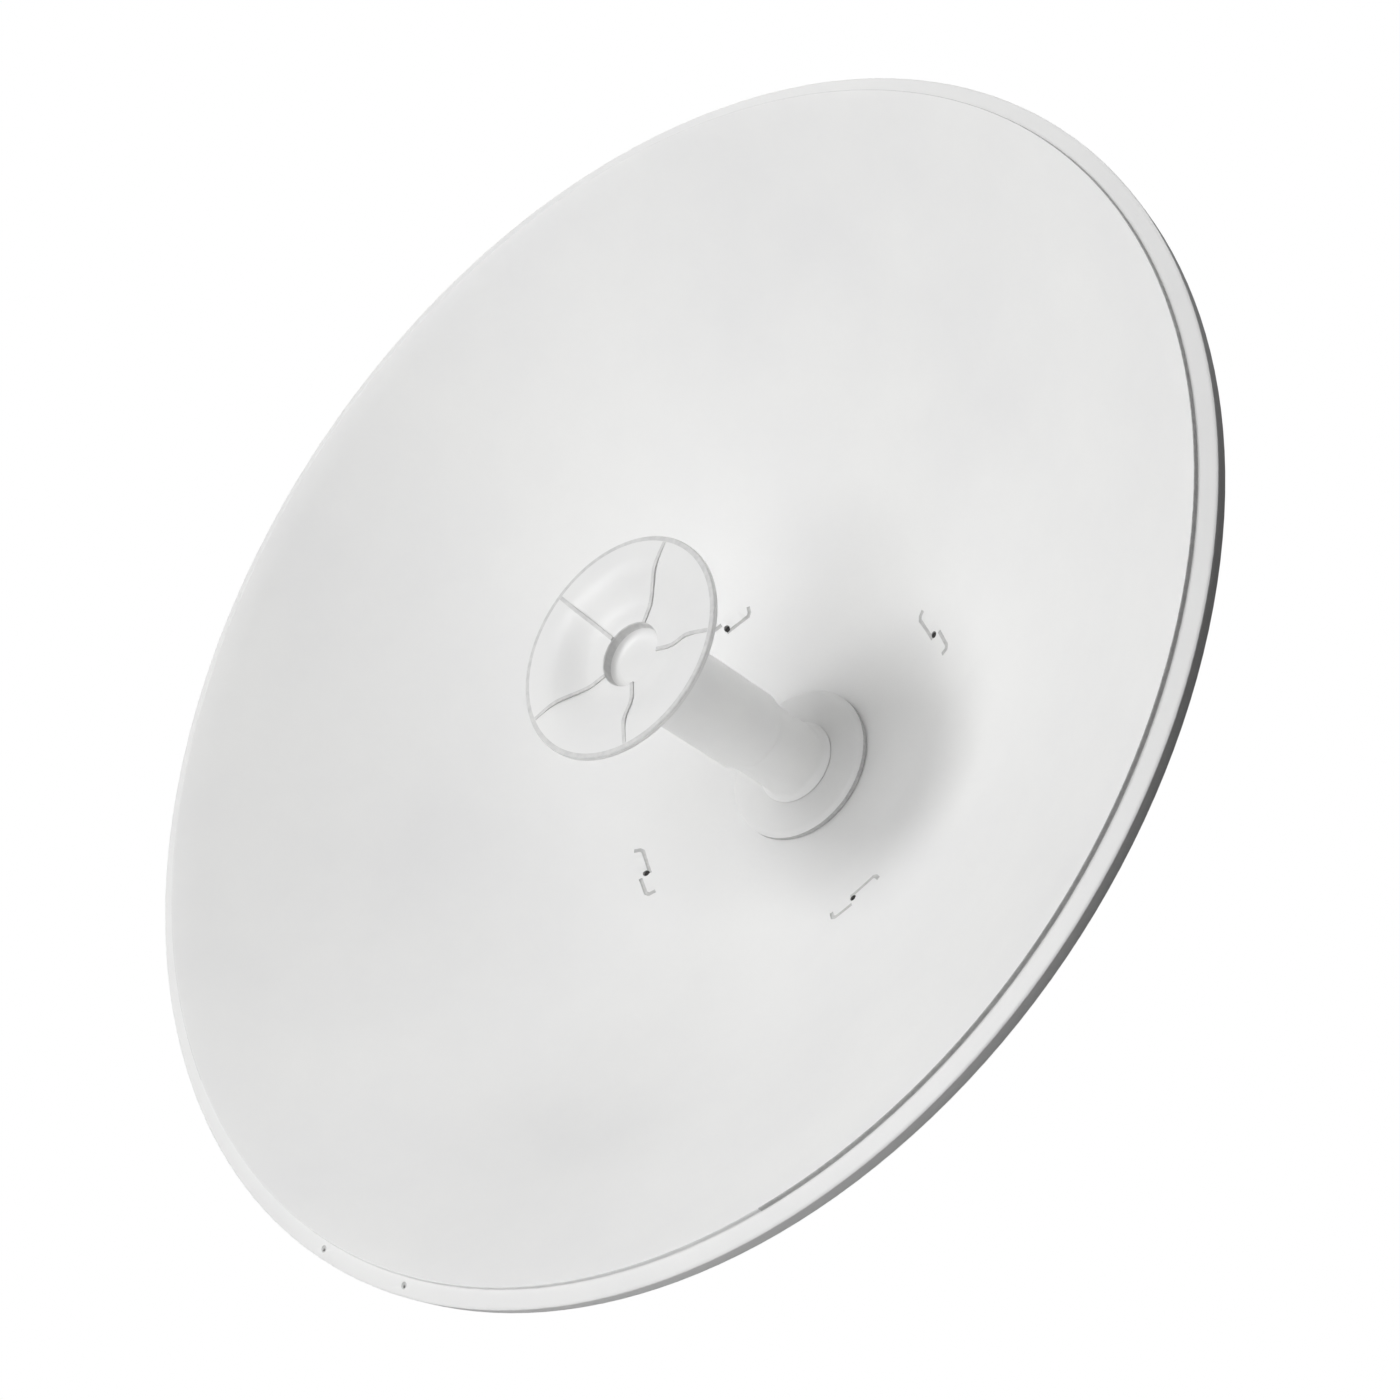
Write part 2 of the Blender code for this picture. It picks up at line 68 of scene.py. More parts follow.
# Two strokes of a mark, as (outward, sideways) points round its stud
MARK_STROKES = (
    ((0.0021, 0.0167), (-0.0008, 0.0161), (-0.0022, 0.0146), (-0.0022, -0.0009)),
    ((0.0034, -0.0018), (0.0042, -0.0118), (0.0031, -0.0136), (-0.0003, -0.0140)),
)
BOWL_SIDES = 192
BOWL_RINGS = 34
STUD_SIDES = 24
SMOOTH_ANGLE = math.radians(30.0)
# How far a cutter reaches past the sheet that it goes through, and its clearance round a stud's end
THROUGH = 0.01
TIP_ROOM = 0.0002

FRONT = Vector((0.0, -1.0, 0.0))
curvature = BOWL_DEPTH / (STEP_RADIUS ** 2 - PAD_RADIUS ** 2)
vertex = CREST_FORWARD - curvature * STEP_RADIUS ** 2
pad_front = vertex + curvature * PAD_RADIUS ** 2


def bowl_front(radius):
    """How far the bowl's front surface lies in front of the rim's plane."""
    return vertex + curvature * radius ** 2


def bowl_back(radius):
    """The same for the back surface, one sheet thickness away along the normal."""
    slope = 2.0 * curvature * radius
    return bowl_front(radius) - SHEET * math.sqrt(1.0 + slope ** 2)


def on_axis(forward):
    """Point on the dish's axis, forward of the rim's plane."""
    return Vector((0.0, RIM_PLANE_Y - forward, 0.0))


def round_axis(radius, degrees, forward):
    """Point at a radius from the dish's axis, the angle counted from +X towards +Z."""
    turn = math.radians(degrees)
    return on_axis(forward) + Vector((radius * math.cos(turn), 0.0, radius * math.sin(turn)))


def facing(direction):
    """Turn that points a primitive's own Z along the direction."""
    return Vector(direction).to_track_quat("Z", "Y").to_euler()


def pick(piece):
    """Selects one piece alone and makes it active."""
    bpy.ops.object.select_all(action="DESELECT")
    piece.select_set(True)
    bpy.context.view_layer.objects.active = piece


def settle(piece):
    """Puts the piece's place into its mesh and shades its flat and round sides."""
    pick(piece)
    bpy.ops.object.transform_apply(location=True, rotation=True, scale=True)
    bpy.ops.object.shade_smooth_by_angle(angle=SMOOTH_ANGLE)
    return piece


def turned(name, place, direction, profile, sides, ring=False):
    """Draws a circle at the first (radius, along) point and pulls its edge through all the others.

    A ring's profile comes back to its first point. Any other shape gets a flat face at both ends.
    """
    heading = Vector(direction)
    place = Vector(place)
    radius, along = profile[0]
    bpy.ops.object.select_all(action="DESELECT")
    bpy.ops.mesh.primitive_circle_add(vertices=sides, radius=radius, location=place + heading * along,
                                      rotation=facing(heading))
    piece = bpy.context.object
    piece.name = name
    bpy.ops.object.mode_set(mode="EDIT")
    bpy.ops.mesh.select_all(action="SELECT")
    for next_radius, next_along in profile[1:]:
        grow = next_radius / radius
        across = [1.0 if abs(part) > 0.5 else grow for part in heading]
        bpy.ops.mesh.extrude_edges_indiv()
        bpy.ops.transform.translate(value=heading * (next_along - along))
        bpy.ops.transform.resize(value=across, center_override=place)
        radius, along = next_radius, next_along
    bpy.ops.mesh.select_all(action="SELECT")
    if ring:
        bpy.ops.mesh.remove_doubles(threshold=0.00001)
    else:
        bpy.ops.mesh.fill_holes(sides=0)
        bpy.ops.mesh.select_all(action="SELECT")
    bpy.ops.mesh.normals_make_consistent(inside=False)
    bpy.ops.object.mode_set(mode="OBJECT")
    return settle(piece)


def combine(piece, other, how):
    """Cuts the other shape out of the piece, or fuses it on, and clears it away.

    Where the other shape has a material of its own, the new faces keep it.
    """
    pick(piece)
    modifier = piece.modifiers.new("shape", "BOOLEAN")
    modifier.operation = how
    modifier.solver = "EXACT"
    modifier.use_self = True
    modifier.object = other
    if other.data.materials:
        modifier.material_mode = "TRANSFER"
    bpy.ops.object.modifier_apply(modifier=modifier.name)
    bpy.data.objects.remove(other)
    return piece


def joined(pieces):
    """Makes one object of several separate shapes."""
    pick(pieces[0])
    for other in pieces[1:]:
        other.select_set(True)
    bpy.ops.object.join()
    return pieces[0]


def rod(place, direction, radius, back, front, sides):
    """Plain round bar, used to cut holes."""
    heading = Vector(direction)
    bpy.ops.object.select_all(action="DESELECT")
    bpy.ops.mesh.primitive_cylinder_add(vertices=sides, radius=radius, depth=front - back,
                                        location=Vector(place) + heading * (front + back) / 2.0,
                                        rotation=facing(heading))
    return settle(bpy.context.object)


def spread(start, stop, count):
    """Evenly spaced values from start to stop, both ends included."""
    return [start + (stop - start) * i / count for i in range(count + 1)]


def linear(code):
    """Linear colour of an sRGB hex code."""
    parts = [int(code[i:i + 2], 16) / 255.0 for i in (1, 3, 5)]
    return tuple(p / 12.92 if p <= 0.04045 else ((p + 0.055) / 1.055) ** 2.4 for p in parts) + (1.0,)


def add_node(material, kind, inputs, feeds=None, stops=(), **settings):
    """Adds a node, sets it up, fills its inputs with values or links, and feeds its result on."""
    node = material.node_tree.nodes.new("ShaderNode" + kind)
    for name, value in settings.items():
        setattr(node, name, value)
    for stop, (place, code) in zip(node.color_ramp.elements if stops else (), stops):
        stop.position = place
        stop.color = linear(code)
    for name, value in inputs.items():
        if isinstance(value, bpy.types.NodeSocket):
            material.node_tree.links.new(value, node.inputs[name])
        else:
            node.inputs[name].default_value = value
    if feeds is not None:
        material.node_tree.links.new(node.outputs[0], feeds)
    return node


def new_material(name, **shader_values):
    """A material whose shader has these values, with its shader and its object coordinates."""
    material = bpy.data.materials.new(name)
    material.use_nodes = True
    shader = material.node_tree.nodes["Principled BSDF"]
    for key, value in shader_values.items():
        shader.inputs[key.replace("_", " ")].default_value = value
    place = add_node(material, "TexCoord", {}).outputs["Object"]
    return material, shader, place


# Polyester powder coat on aluminium: satin, very light grey, with the fine orange peel of a baked
# powder about 2 mm across, and a faint unevenness of tone where rain and dust have dried.
powder_coat, shader, place = new_material("powder_coated_aluminium", Roughness=0.42, IOR=1.5)
stain = add_node(powder_coat, "TexNoise", {"Vector": place, "Scale": 9.0, "Detail": 5.0, "Roughness": 0.6})
add_node(powder_coat, "ValToRGB", {"Fac": stain.outputs["Fac"]}, feeds=shader.inputs["Base Color"],
         stops=((0.3, "#E7E7E7"), (0.7, "#ECECEB")))
add_node(powder_coat, "MapRange", {"Value": stain.outputs["Fac"], "To Min": 0.38, "To Max": 0.5},
         feeds=shader.inputs["Roughness"])
peel = add_node(powder_coat, "TexNoise", {"Vector": place, "Scale": 520.0, "Detail": 2.0})
add_node(powder_coat, "Bump", {"Height": peel.outputs["Fac"], "Strength": 0.12, "Distance": 0.0003},
         feeds=shader.inputs["Normal"])

# The same coat, duller and darker, as painted shade: in the pressed marks, round the holes, on the step's
# wall and on the collar's wall, where these hollows and walls fall into shade.
shade_painted_coat, shader, place = new_material("coat_with_painted_shade", Roughness=0.7)
shade_mottle = add_node(shade_painted_coat, "TexNoise", {"Vector": place, "Scale": 400.0, "Detail": 3.0})
add_node(shade_painted_coat, "ValToRGB", {"Fac": shade_mottle.outputs["Fac"]}, feeds=shader.inputs["Base Color"],
         stops=((0.35, "#BABABA"), (0.65, "#C8C8C7")))

profile = [(CENTRE_HOLE_RADIUS, pad_front), (0.034, pad_front), (PAD_RADIUS - 0.0015, pad_front)]
profile += [(r, bowl_front(r)) for r in spread(PAD_RADIUS + 0.0015, STEP_RADIUS - 0.0009, BOWL_RINGS)]
profile += [
    (STEP_RADIUS - 0.0004, CREST_FORWARD - 0.00055),
    (STEP_RADIUS, CREST_FORWARD - 0.0003),
    (STEP_RADIUS + 0.0003, CREST_FORWARD - 0.0005),
    (STEP_RADIUS + 0.0005, CREST_FORWARD - 0.0010),
    (STEP_RADIUS + 0.0006, FLANGE_FORWARD + 0.0002),
    (STEP_RADIUS + 0.0009, FLANGE_FORWARD + 0.00005),
    (STEP_RADIUS + 0.0015, FLANGE_FORWARD - 0.0001),
    (RIM_RADIUS - 0.0014, 0.00018),
    (RIM_RADIUS - 0.0005, -0.0001),
    (RIM_RADIUS - 0.0001, -0.0005),
    (RIM_RADIUS, -0.0011),
    (RIM_RADIUS - 0.0003, -0.0045),
    (RIM_RADIUS - 0.0005, -LIP_DEPTH + 0.0002),
    (RIM_RADIUS - 0.0008, -LIP_DEPTH),
    (RIM_RADIUS - 0.0019, -LIP_DEPTH),
    (RIM_RADIUS - 0.0021, -LIP_DEPTH + 0.0003),
    (RIM_RADIUS - 0.0016, -0.0023),
    (RIM_RADIUS - 0.0022, -0.0016),
    (STEP_RADIUS + 0.0005, -0.0006),
    (STEP_RADIUS - 0.0015, -0.0008),
]
profile += [(r, bowl_back(r)) for r in spread(STEP_RADIUS - 0.0035, PAD_RADIUS + 0.001, BOWL_RINGS - 6)]
profile += [(PAD_RADIUS - 0.002, pad_front - SHEET), (CENTRE_HOLE_RADIUS, pad_front - SHEET), profile[0]]
bowl = turned("dish_bowl", on_axis(0.0), FRONT, profile, BOWL_SIDES, ring=True)
bowl.data.materials.append(powder_coat)
bowl.data.materials.append(shade_painted_coat)
# Painted shade: the step's wall gets the darker coat all round, except at its bottom, which the lamps
# light
for face in bowl.data.polygons:
    across, rise = face.center.x, face.center.z
    on_wall = STEP_RADIUS + 0.0001 < math.hypot(across, rise) < STEP_RADIUS + 0.0008
    at_front = RIM_PLANE_Y - face.center.y > FLANGE_FORWARD
    if on_wall and at_front and rise > UNSHADED_BELOW * STEP_RADIUS:
        face.material_index = 1

# A drain hole is punched from the front, so the sheet is drawn in round it
punch = [
    (DRAIN_RADIUS, -0.004),
    (DRAIN_RADIUS, 0.0001),
    (DRAIN_RADIUS * 2.6, 0.0006),
    (DRAIN_RADIUS * 3.6, 0.0011),
]
holes = [turned("drain_punch", round_axis(DRAIN_CIRCLE, angle, 0.0), FRONT, punch, STUD_SIDES)
         for angle in DRAIN_ANGLES]
holes += [rod(round_axis(STUD_CIRCLE, angle, bowl_front(STUD_CIRCLE)), FRONT, STUD_TIP_RADIUS + TIP_ROOM,
              -THROUGH, THROUGH, STUD_SIDES) for angle in STUD_ANGLES]
# The marks left of the axis are mirror images of those right of it
grooves = []
for angle in STUD_ANGLES:
    side = 1.0 if angle in (45.0, 315.0) else -1.0
    for stroke in MARK_STROKES:
        points = []
        for outward, sideways in stroke:
            radius = STUD_CIRCLE + outward
            turn = angle + side * math.degrees(sideways / STUD_CIRCLE)
            points.append(round_axis(radius, turn, bowl_front(radius) + GROOVE_LIFT))
        for start, end in zip(points, points[1:]):
            reach = (end - start).length
            grooves.append(rod(start, (end - start) / reach, GROOVE_RADIUS,
                               -GROOVE_END, reach + GROOVE_END, GROOVE_SIDES))
groove_cutter = joined(grooves)
# Painted shade: the grooves' sides get the darker coat
groove_cutter.data.materials.append(shade_painted_coat)
combine(bowl, groove_cutter, "DIFFERENCE")
hole_cutter = joined(holes)
# Painted shade: the walls of the holes and the drawn-in rims of the drain holes get the darker coat
hole_cutter.data.materials.append(shade_painted_coat)
combine(bowl, hole_cutter, "DIFFERENCE")
settle(bowl)
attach(bowl, "root")
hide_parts("reflector")


# The feed's collar: a turned and painted aluminium disc that clamps the feed to the pad. Its spigot
# goes through the bowl, and its edge is rounded down to a low wall, coloured darker as painted shade.
COLLAR_RADIUS = 0.042
COLLAR_HEIGHT = 0.005
COLLAR_ROUND = 0.0018
SPIGOT_RADIUS = 0.0195
SEAT_GAP = 0.0003
ROUND_SIDES = 96
collar_back = pad_front + SEAT_GAP
collar_front = collar_back + COLLAR_HEIGHT

# Wet paint over turned aluminium: satin, a shade darker than the bowl, with a fine orange peel about
# 1 mm across. The tube's copy of it is whiter, as painted light for the light that the bowl throws on it.
FEED_TONES = (
    ("painted_turned_aluminium", "#E2E2E2", "#E7E7E6"),
    ("painted_white_tube", "#EFEFEF", "#F3F3F2"),
)
feed_paints = []
for name, dark, light in FEED_TONES:
    feed_paint, shader, place = new_material(name, Roughness=0.45, IOR=1.5)
    stain = add_node(feed_paint, "TexNoise", {"Vector": place, "Scale": 30.0, "Detail": 4.0})
    add_node(feed_paint, "ValToRGB", {"Fac": stain.outputs["Fac"]}, feeds=shader.inputs["Base Color"],
             stops=((0.3, dark), (0.7, light)))
    peel = add_node(feed_paint, "TexNoise", {"Vector": place, "Scale": 900.0, "Detail": 2.0})
    add_node(feed_paint, "Bump", {"Height": peel.outputs["Fac"], "Strength": 0.08, "Distance": 0.0002},
             feeds=shader.inputs["Normal"])
    feed_paints.append(feed_paint)
feed_paint, tube_paint_with_painted_light = feed_paints

collar = turned("collar_disc", on_axis(0.0), FRONT, [
    (SPIGOT_RADIUS - 0.0004, pad_front - SHEET),
    (SPIGOT_RADIUS, pad_front - SHEET + 0.0004),
    (SPIGOT_RADIUS, collar_back),
    (COLLAR_RADIUS - 0.0004, collar_back),
    (COLLAR_RADIUS, collar_back + 0.0004),
    (COLLAR_RADIUS, collar_front - COLLAR_ROUND),
    (COLLAR_RADIUS - 0.0006, collar_front - 0.0012),
    (COLLAR_RADIUS - 0.0016, collar_front - 0.0003),
    (COLLAR_RADIUS - 0.0028, collar_front),
    (0.012, collar_front),
], ROUND_SIDES)
collar.data.materials.append(feed_paint)
collar.data.materials.append(shade_painted_coat)
# Painted shade: the collar's low wall gets the darker coat
for face in collar.data.polygons:
    on_wall = math.hypot(face.center.x, face.center.z) > COLLAR_RADIUS - 0.0005
    if on_wall and RIM_PLANE_Y - face.center.y < collar_front - COLLAR_ROUND:
        face.material_index = 1
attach(collar, "root")
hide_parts("feed_collar")


# The feed's tube: a thin foot that flares a little where it meets the collar, and a wider sleeve that
# is pushed over it. The sleeve's end is bevelled, so the joint shows as a small step.
TUBE_FOOT_RADIUS = 0.0198
TUBE_RADIUS = 0.022
TUBE_STEP_FORWARD = -0.104
CAP_BACK = -0.016
TUBE_SIDES = 72
foot_start = collar_front + SEAT_GAP
foot = turned("tube_foot", on_axis(0.0), FRONT, [
    (0.0226, foot_start),
    (0.0228, foot_start + 0.0003),
    (0.0223, foot_start + 0.0009),
    (0.0214, foot_start + 0.0016),
    (0.0206, foot_start + 0.0026),
    (0.0200, foot_start + 0.0038),
    (TUBE_FOOT_RADIUS, foot_start + 0.0050),
    (TUBE_FOOT_RADIUS, TUBE_STEP_FORWARD),
], TUBE_SIDES)
# Painted light: the tube's paint is whiter than the collar's
foot.data.materials.append(tube_paint_with_painted_light)
sleeve = turned("tube_sleeve", on_axis(0.0), FRONT, [
    (TUBE_FOOT_RADIUS + 0.0001, TUBE_STEP_FORWARD + 0.0001),
    (TUBE_FOOT_RADIUS + 0.0004, TUBE_STEP_FORWARD + 0.0009),
    (TUBE_RADIUS - 0.0005, TUBE_STEP_FORWARD + 0.0030),
    (TUBE_RADIUS, TUBE_STEP_FORWARD + 0.0046),
    (TUBE_RADIUS, CAP_BACK - 0.0012),
    (TUBE_RADIUS - 0.0003, CAP_BACK - 0.0008),
    (TUBE_RADIUS - 0.0003, CAP_BACK - SEAT_GAP),
], TUBE_SIDES)
sleeve.data.materials.append(tube_paint_with_painted_light)
for piece, node in ((foot, "feed_tube_base"), (sleeve, "feed_tube")):
    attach(piece, "root")
    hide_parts(node)


# The cap: a moulded disc with the splash plate behind it. Its face is dished, with five thin ribs
# that run from its edge to a round pit in the middle.
CAP_RADIUS = 0.060
RIB_ANGLES = (10.0, 82.0, 154.0, 226.0, 298.0)
RIB_WIDTH = 0.0020
RIB_DEPTH = 0.002
CAP_EDGE = 0.0030
CAP_SIDES = 128
PIT_RADIUS = 0.0172
PIT_WALL = 0.0014
PIT_TOP = -0.0062
# The cap's back from the tube to its edge, as (radius, forward) points
CAP_REAR = (
    (0.0222, CAP_BACK), (0.0240, CAP_BACK), (0.0300, -0.0140), (0.0380, -0.0103), (0.0460, -0.0060),
    (0.0530, -0.0017), (0.0572, 0.0003), (0.0594, 0.0009), (CAP_RADIUS, 0.0014), (CAP_RADIUS, CAP_EDGE),
)
# The face from its edge to the pit, and the pit down to its floor
CAP_FACE = (
    (0.0594, 0.0037), (0.0572, 0.0038), (0.0540, 0.0037), (0.0490, 0.0035), (0.0460, 0.0030),
    (0.0430, 0.0022), (0.0400, 0.0010), (0.0360, -0.0010), (0.0320, -0.0031), (0.0280, -0.0047),
    (0.0250, -0.0054), (0.0210, -0.0058), (0.0181, -0.0059),
)
CAP_PIT = (
    (0.0174, -0.0061), (0.0170, -0.0066), (0.0168, -0.0090), (0.0163, -0.0108), (0.0153, -0.0122),
    (0.0139, -0.0130), (0.0120, -0.0133), (0.0100, -0.0134),
)
# The top line of a rib, from the pit outwards
RIB_TOP = (
    (0.0172, -0.0052), (0.0250, -0.0046), (0.0280, -0.0038), (0.0320, -0.0021), (0.0360, 0.0001),
    (0.0400, 0.0021), (0.0430, 0.0033), (0.0460, 0.0038), (0.0500, 0.0040), (0.0566, 0.0040),
    (0.0580, 0.0034),
)

# Moulded UV-stable plastic: satin and even, nearly white, with the grain of a blasted mould. The real
# grain is finer than the 0.7 mm that it has here, which it needs to show.
cap_plastic, shader, place = new_material("moulded_weatherproof_plastic", Roughness=0.4, IOR=1.49)
stain = add_node(cap_plastic, "TexNoise", {"Vector": place, "Scale": 24.0, "Detail": 4.0})
add_node(cap_plastic, "ValToRGB", {"Fac": stain.outputs["Fac"]}, feeds=shader.inputs["Base Color"],
         stops=((0.3, "#E4E4E4"), (0.7, "#E8E8E7")))
grain = add_node(cap_plastic, "TexNoise", {"Vector": place, "Scale": 1400.0, "Detail": 1.0})
add_node(cap_plastic, "Bump", {"Height": grain.outputs["Fac"], "Strength": 0.1, "Distance": 0.0001},
         feeds=shader.inputs["Normal"])

# The ribs, the cap's edge and the pit's wall: the same plastic, greyer, as painted shade.
shaded_rib_plastic, shader, place = new_material("rib_plastic_with_painted_shade", Roughness=0.55, IOR=1.49)
stain = add_node(shaded_rib_plastic, "TexNoise", {"Vector": place, "Scale": 300.0, "Detail": 3.0})
add_node(shaded_rib_plastic, "ValToRGB", {"Fac": stain.outputs["Fac"]}, feeds=shader.inputs["Base Color"],
         stops=((0.35, "#C9C9C9"), (0.65, "#D5D5D4")))

cap = turned("splash_cap", on_axis(0.0), FRONT, CAP_REAR + CAP_FACE + CAP_PIT, CAP_SIDES)
cap.data.materials.append(cap_plastic)
cap.data.materials.append(shaded_rib_plastic)
# Painted shade: the cap's edge and the pit's wall get the greyer plastic
for face in cap.data.polygons:
    radius = math.hypot(face.center.x, face.center.z)
    forward = RIM_PLANE_Y - face.center.y
    on_edge = radius > CAP_FACE[1][0] and forward > CAP_EDGE
    if on_edge or (PIT_RADIUS - PIT_WALL < radius < PIT_RADIUS and forward < PIT_TOP):
        face.material_index = 1

ribs = []
for angle in RIB_ANGLES:
    turn = math.radians(angle)
    outward = Vector((math.cos(turn), 0.0, math.sin(turn)))
    radius, forward = RIB_TOP[0]
    bpy.ops.object.select_all(action="DESELECT")
    bpy.ops.mesh.primitive_plane_add(size=1.0)
    rib = bpy.context.object
    rib.scale = (RIB_WIDTH, RIB_DEPTH, 1.0)
    rib.rotation_euler = Matrix((outward.cross(FRONT), FRONT, outward)).transposed().to_euler()
    rib.location = outward * radius + on_axis(forward - RIB_DEPTH / 2.0)
    bpy.ops.object.mode_set(mode="EDIT")
    bpy.ops.mesh.select_all(action="SELECT")
    for next_radius, next_forward in RIB_TOP[1:]:
        bpy.ops.mesh.extrude_region_move()
        step = outward * (next_radius - radius) + FRONT * (next_forward - forward)
        bpy.ops.transform.translate(value=step)
        radius, forward = next_radius, next_forward
    bpy.ops.mesh.select_all(action="SELECT")
    bpy.ops.mesh.normals_make_consistent(inside=False)
    bpy.ops.object.mode_set(mode="OBJECT")
    ribs.append(settle(rib))
all_ribs = joined(ribs)
# Painted shade: the ribs get the greyer plastic
all_ribs.data.materials.append(shaded_rib_plastic)
combine(cap, all_ribs, "UNION")
settle(cap)
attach(cap, "root")
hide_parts("sub_reflector")


# The studs: four M6 studs of blackened steel, pressed into the bowl from the front so that only their
# ends show there, each with a small centre mark. Behind the plate their threads carry the nuts.
STEEL = 0.004
RING_BACK = -0.158
STUD_RADIUS = 0.0028
STUD_SINK = 0.0004
STUD_TAIL = 0.0075
STUD_PITCH = 0.001
# Depth of a thread, as a share of its pitch
THREAD_DEPTH = 0.54
plate_back = RING_BACK - SEAT_GAP - STEEL
stud_front = bowl_front(STUD_CIRCLE) - STUD_SINK
stud_back = plate_back - STUD_TAIL


def thread(start, stop, crest, pitch):
    """Profile of a V thread between two places, drawn as separate ridges one pitch apart."""
    root = crest - THREAD_DEPTH * pitch
    count = round(abs(stop - start) / pitch)
    step = (stop - start) / count
    points = [(root, start)]
    for i in range(count):
        points += [(crest, start + step * (i + 0.4)), (crest, start + step * (i + 0.6))]
        points.append((root, start + step * (i + 1)))
    return points


def copied(piece, name, shift):
    """Copies a piece, with a mesh of its own, and moves the copy."""
    pick(piece)
    bpy.ops.object.duplicate(linked=False)
    twin = bpy.context.object
    twin.name = name
    bpy.ops.transform.translate(value=shift)
    bpy.ops.object.transform_apply(location=True, rotation=True, scale=True)
    return twin


# Black oxide on steel: nearly black and dull, with a faint brown where the layer has worn thin.
black_oxide, shader, place = new_material("black_oxide_steel", Metallic=0.6, Roughness=0.5)
wear = add_node(black_oxide, "TexNoise", {"Vector": place, "Scale": 700.0, "Detail": 4.0})
add_node(black_oxide, "ValToRGB", {"Fac": wear.outputs["Fac"]}, feeds=shader.inputs["Base Color"],
         stops=((0.4, "#303030"), (0.75, "#4A4743")))
add_node(black_oxide, "MapRange", {"Value": wear.outputs["Fac"], "To Min": 0.4, "To Max": 0.65},
         feeds=shader.inputs["Roughness"])

profile = [
    (0.0004, stud_front - 0.0004),
    (0.0007, stud_front - 0.0001),
    (0.0010, stud_front),
    (STUD_TIP_RADIUS - 0.0001, stud_front - 0.0001),
    (STUD_TIP_RADIUS, stud_front - 0.0003),
    (STUD_TIP_RADIUS, stud_front - 0.0030),
    (STUD_RADIUS - 0.0004, stud_front - 0.0031),
    (STUD_RADIUS, stud_front - 0.0035),
    (STUD_RADIUS, plate_back + 0.0010),
]
profile += thread(plate_back + 0.0006, stud_back + 0.0009, STUD_RADIUS, STUD_PITCH)
profile += [(STUD_RADIUS - 0.0010, stud_back)]
first_place = round_axis(STUD_CIRCLE, STUD_ANGLES[0], 0.0)
first_stud = turned("stud_1", first_place, FRONT, profile, STUD_SIDES)
first_stud.data.materials.append(black_oxide)
studs = [first_stud]
for i, angle in enumerate(STUD_ANGLES[1:]):
    shift = round_axis(STUD_CIRCLE, angle, 0.0) - first_place
    studs.append(copied(first_stud, "stud_%d" % (i + 2), shift))
for i, stud in enumerate(studs):
    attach(stud, "root")
    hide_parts("mount_stud_%d" % (i + 1))


# The ring: an aluminium sand casting between the bowl and the bracket, shaped like a spool. Its front
# flange follows the bowl, bosses carry the studs, and thin ribs stiffen it between them.
RING_INNER = 0.090
RING_OUTER = 0.117
RING_WALL = 0.005
BOSS_RADIUS = 0.0065
RIB_THICKNESS = 0.003
BOLT_SIDES = 32
RING_DRILL = 0.04
# How near two places are to count as one
NEAR = 0.001
RING_RIB_ANGLES = (0, 20, 70, 90, 110, 160, 180, 200, 250, 270, 290, 340)


def block(name, low, high):
    """Box between two corners, to be shaped further."""
    low = Vector(low)
    high = Vector(high)
    bpy.ops.object.select_all(action="DESELECT")
    bpy.ops.mesh.primitive_cube_add(size=1.0, location=(low + high) / 2.0, scale=high - low)
    box = bpy.context.object
    box.name = name
    return settle(box)


def choose(piece, mode, wanted):
    """Opens the piece in edit mode with the vertices, edges or faces selected that pass the test."""
    pick(piece)
    bpy.ops.object.mode_set(mode="EDIT")
    bpy.ops.mesh.select_mode(type=mode)
    bpy.ops.mesh.select_all(action="DESELECT")
    bpy.ops.object.mode_set(mode="OBJECT")
    points = piece.data.vertices
    if mode == "VERT":
        for point in points:
            point.select = wanted(point.co)
    elif mode == "EDGE":
        for edge in piece.data.edges:
            edge.select = wanted(*[points[i].co for i in edge.vertices])
    else:
        for face in piece.data.polygons:
            face.select = wanted(face.center, face.normal)
    bpy.ops.object.mode_set(mode="EDIT")


# Sand-cast aluminium, bead blasted: matt grey, with the coarse grain of the sand mould about 1 mm
# across and a darker, rougher skin in patches.
cast_aluminium, shader, place = new_material("sand_cast_aluminium", Metallic=0.7, Roughness=0.55)
skin = add_node(cast_aluminium, "TexNoise",
                {"Vector": place, "Scale": 60.0, "Detail": 6.0, "Roughness": 0.65})
add_node(cast_aluminium, "ValToRGB", {"Fac": skin.outputs["Fac"]}, feeds=shader.inputs["Base Color"],
         stops=((0.3, "#A4A6A8"), (0.7, "#BEBFC0")))
add_node(cast_aluminium, "MapRange", {"Value": skin.outputs["Fac"], "To Min": 0.45, "To Max": 0.68},
         feeds=shader.inputs["Roughness"])
sand = add_node(cast_aluminium, "TexNoise", {"Vector": place, "Scale": 1100.0, "Detail": 3.0})
add_node(cast_aluminium, "Bump", {"Height": sand.outputs["Fac"], "Strength": 0.35, "Distance": 0.0003},
         feeds=shader.inputs["Normal"])

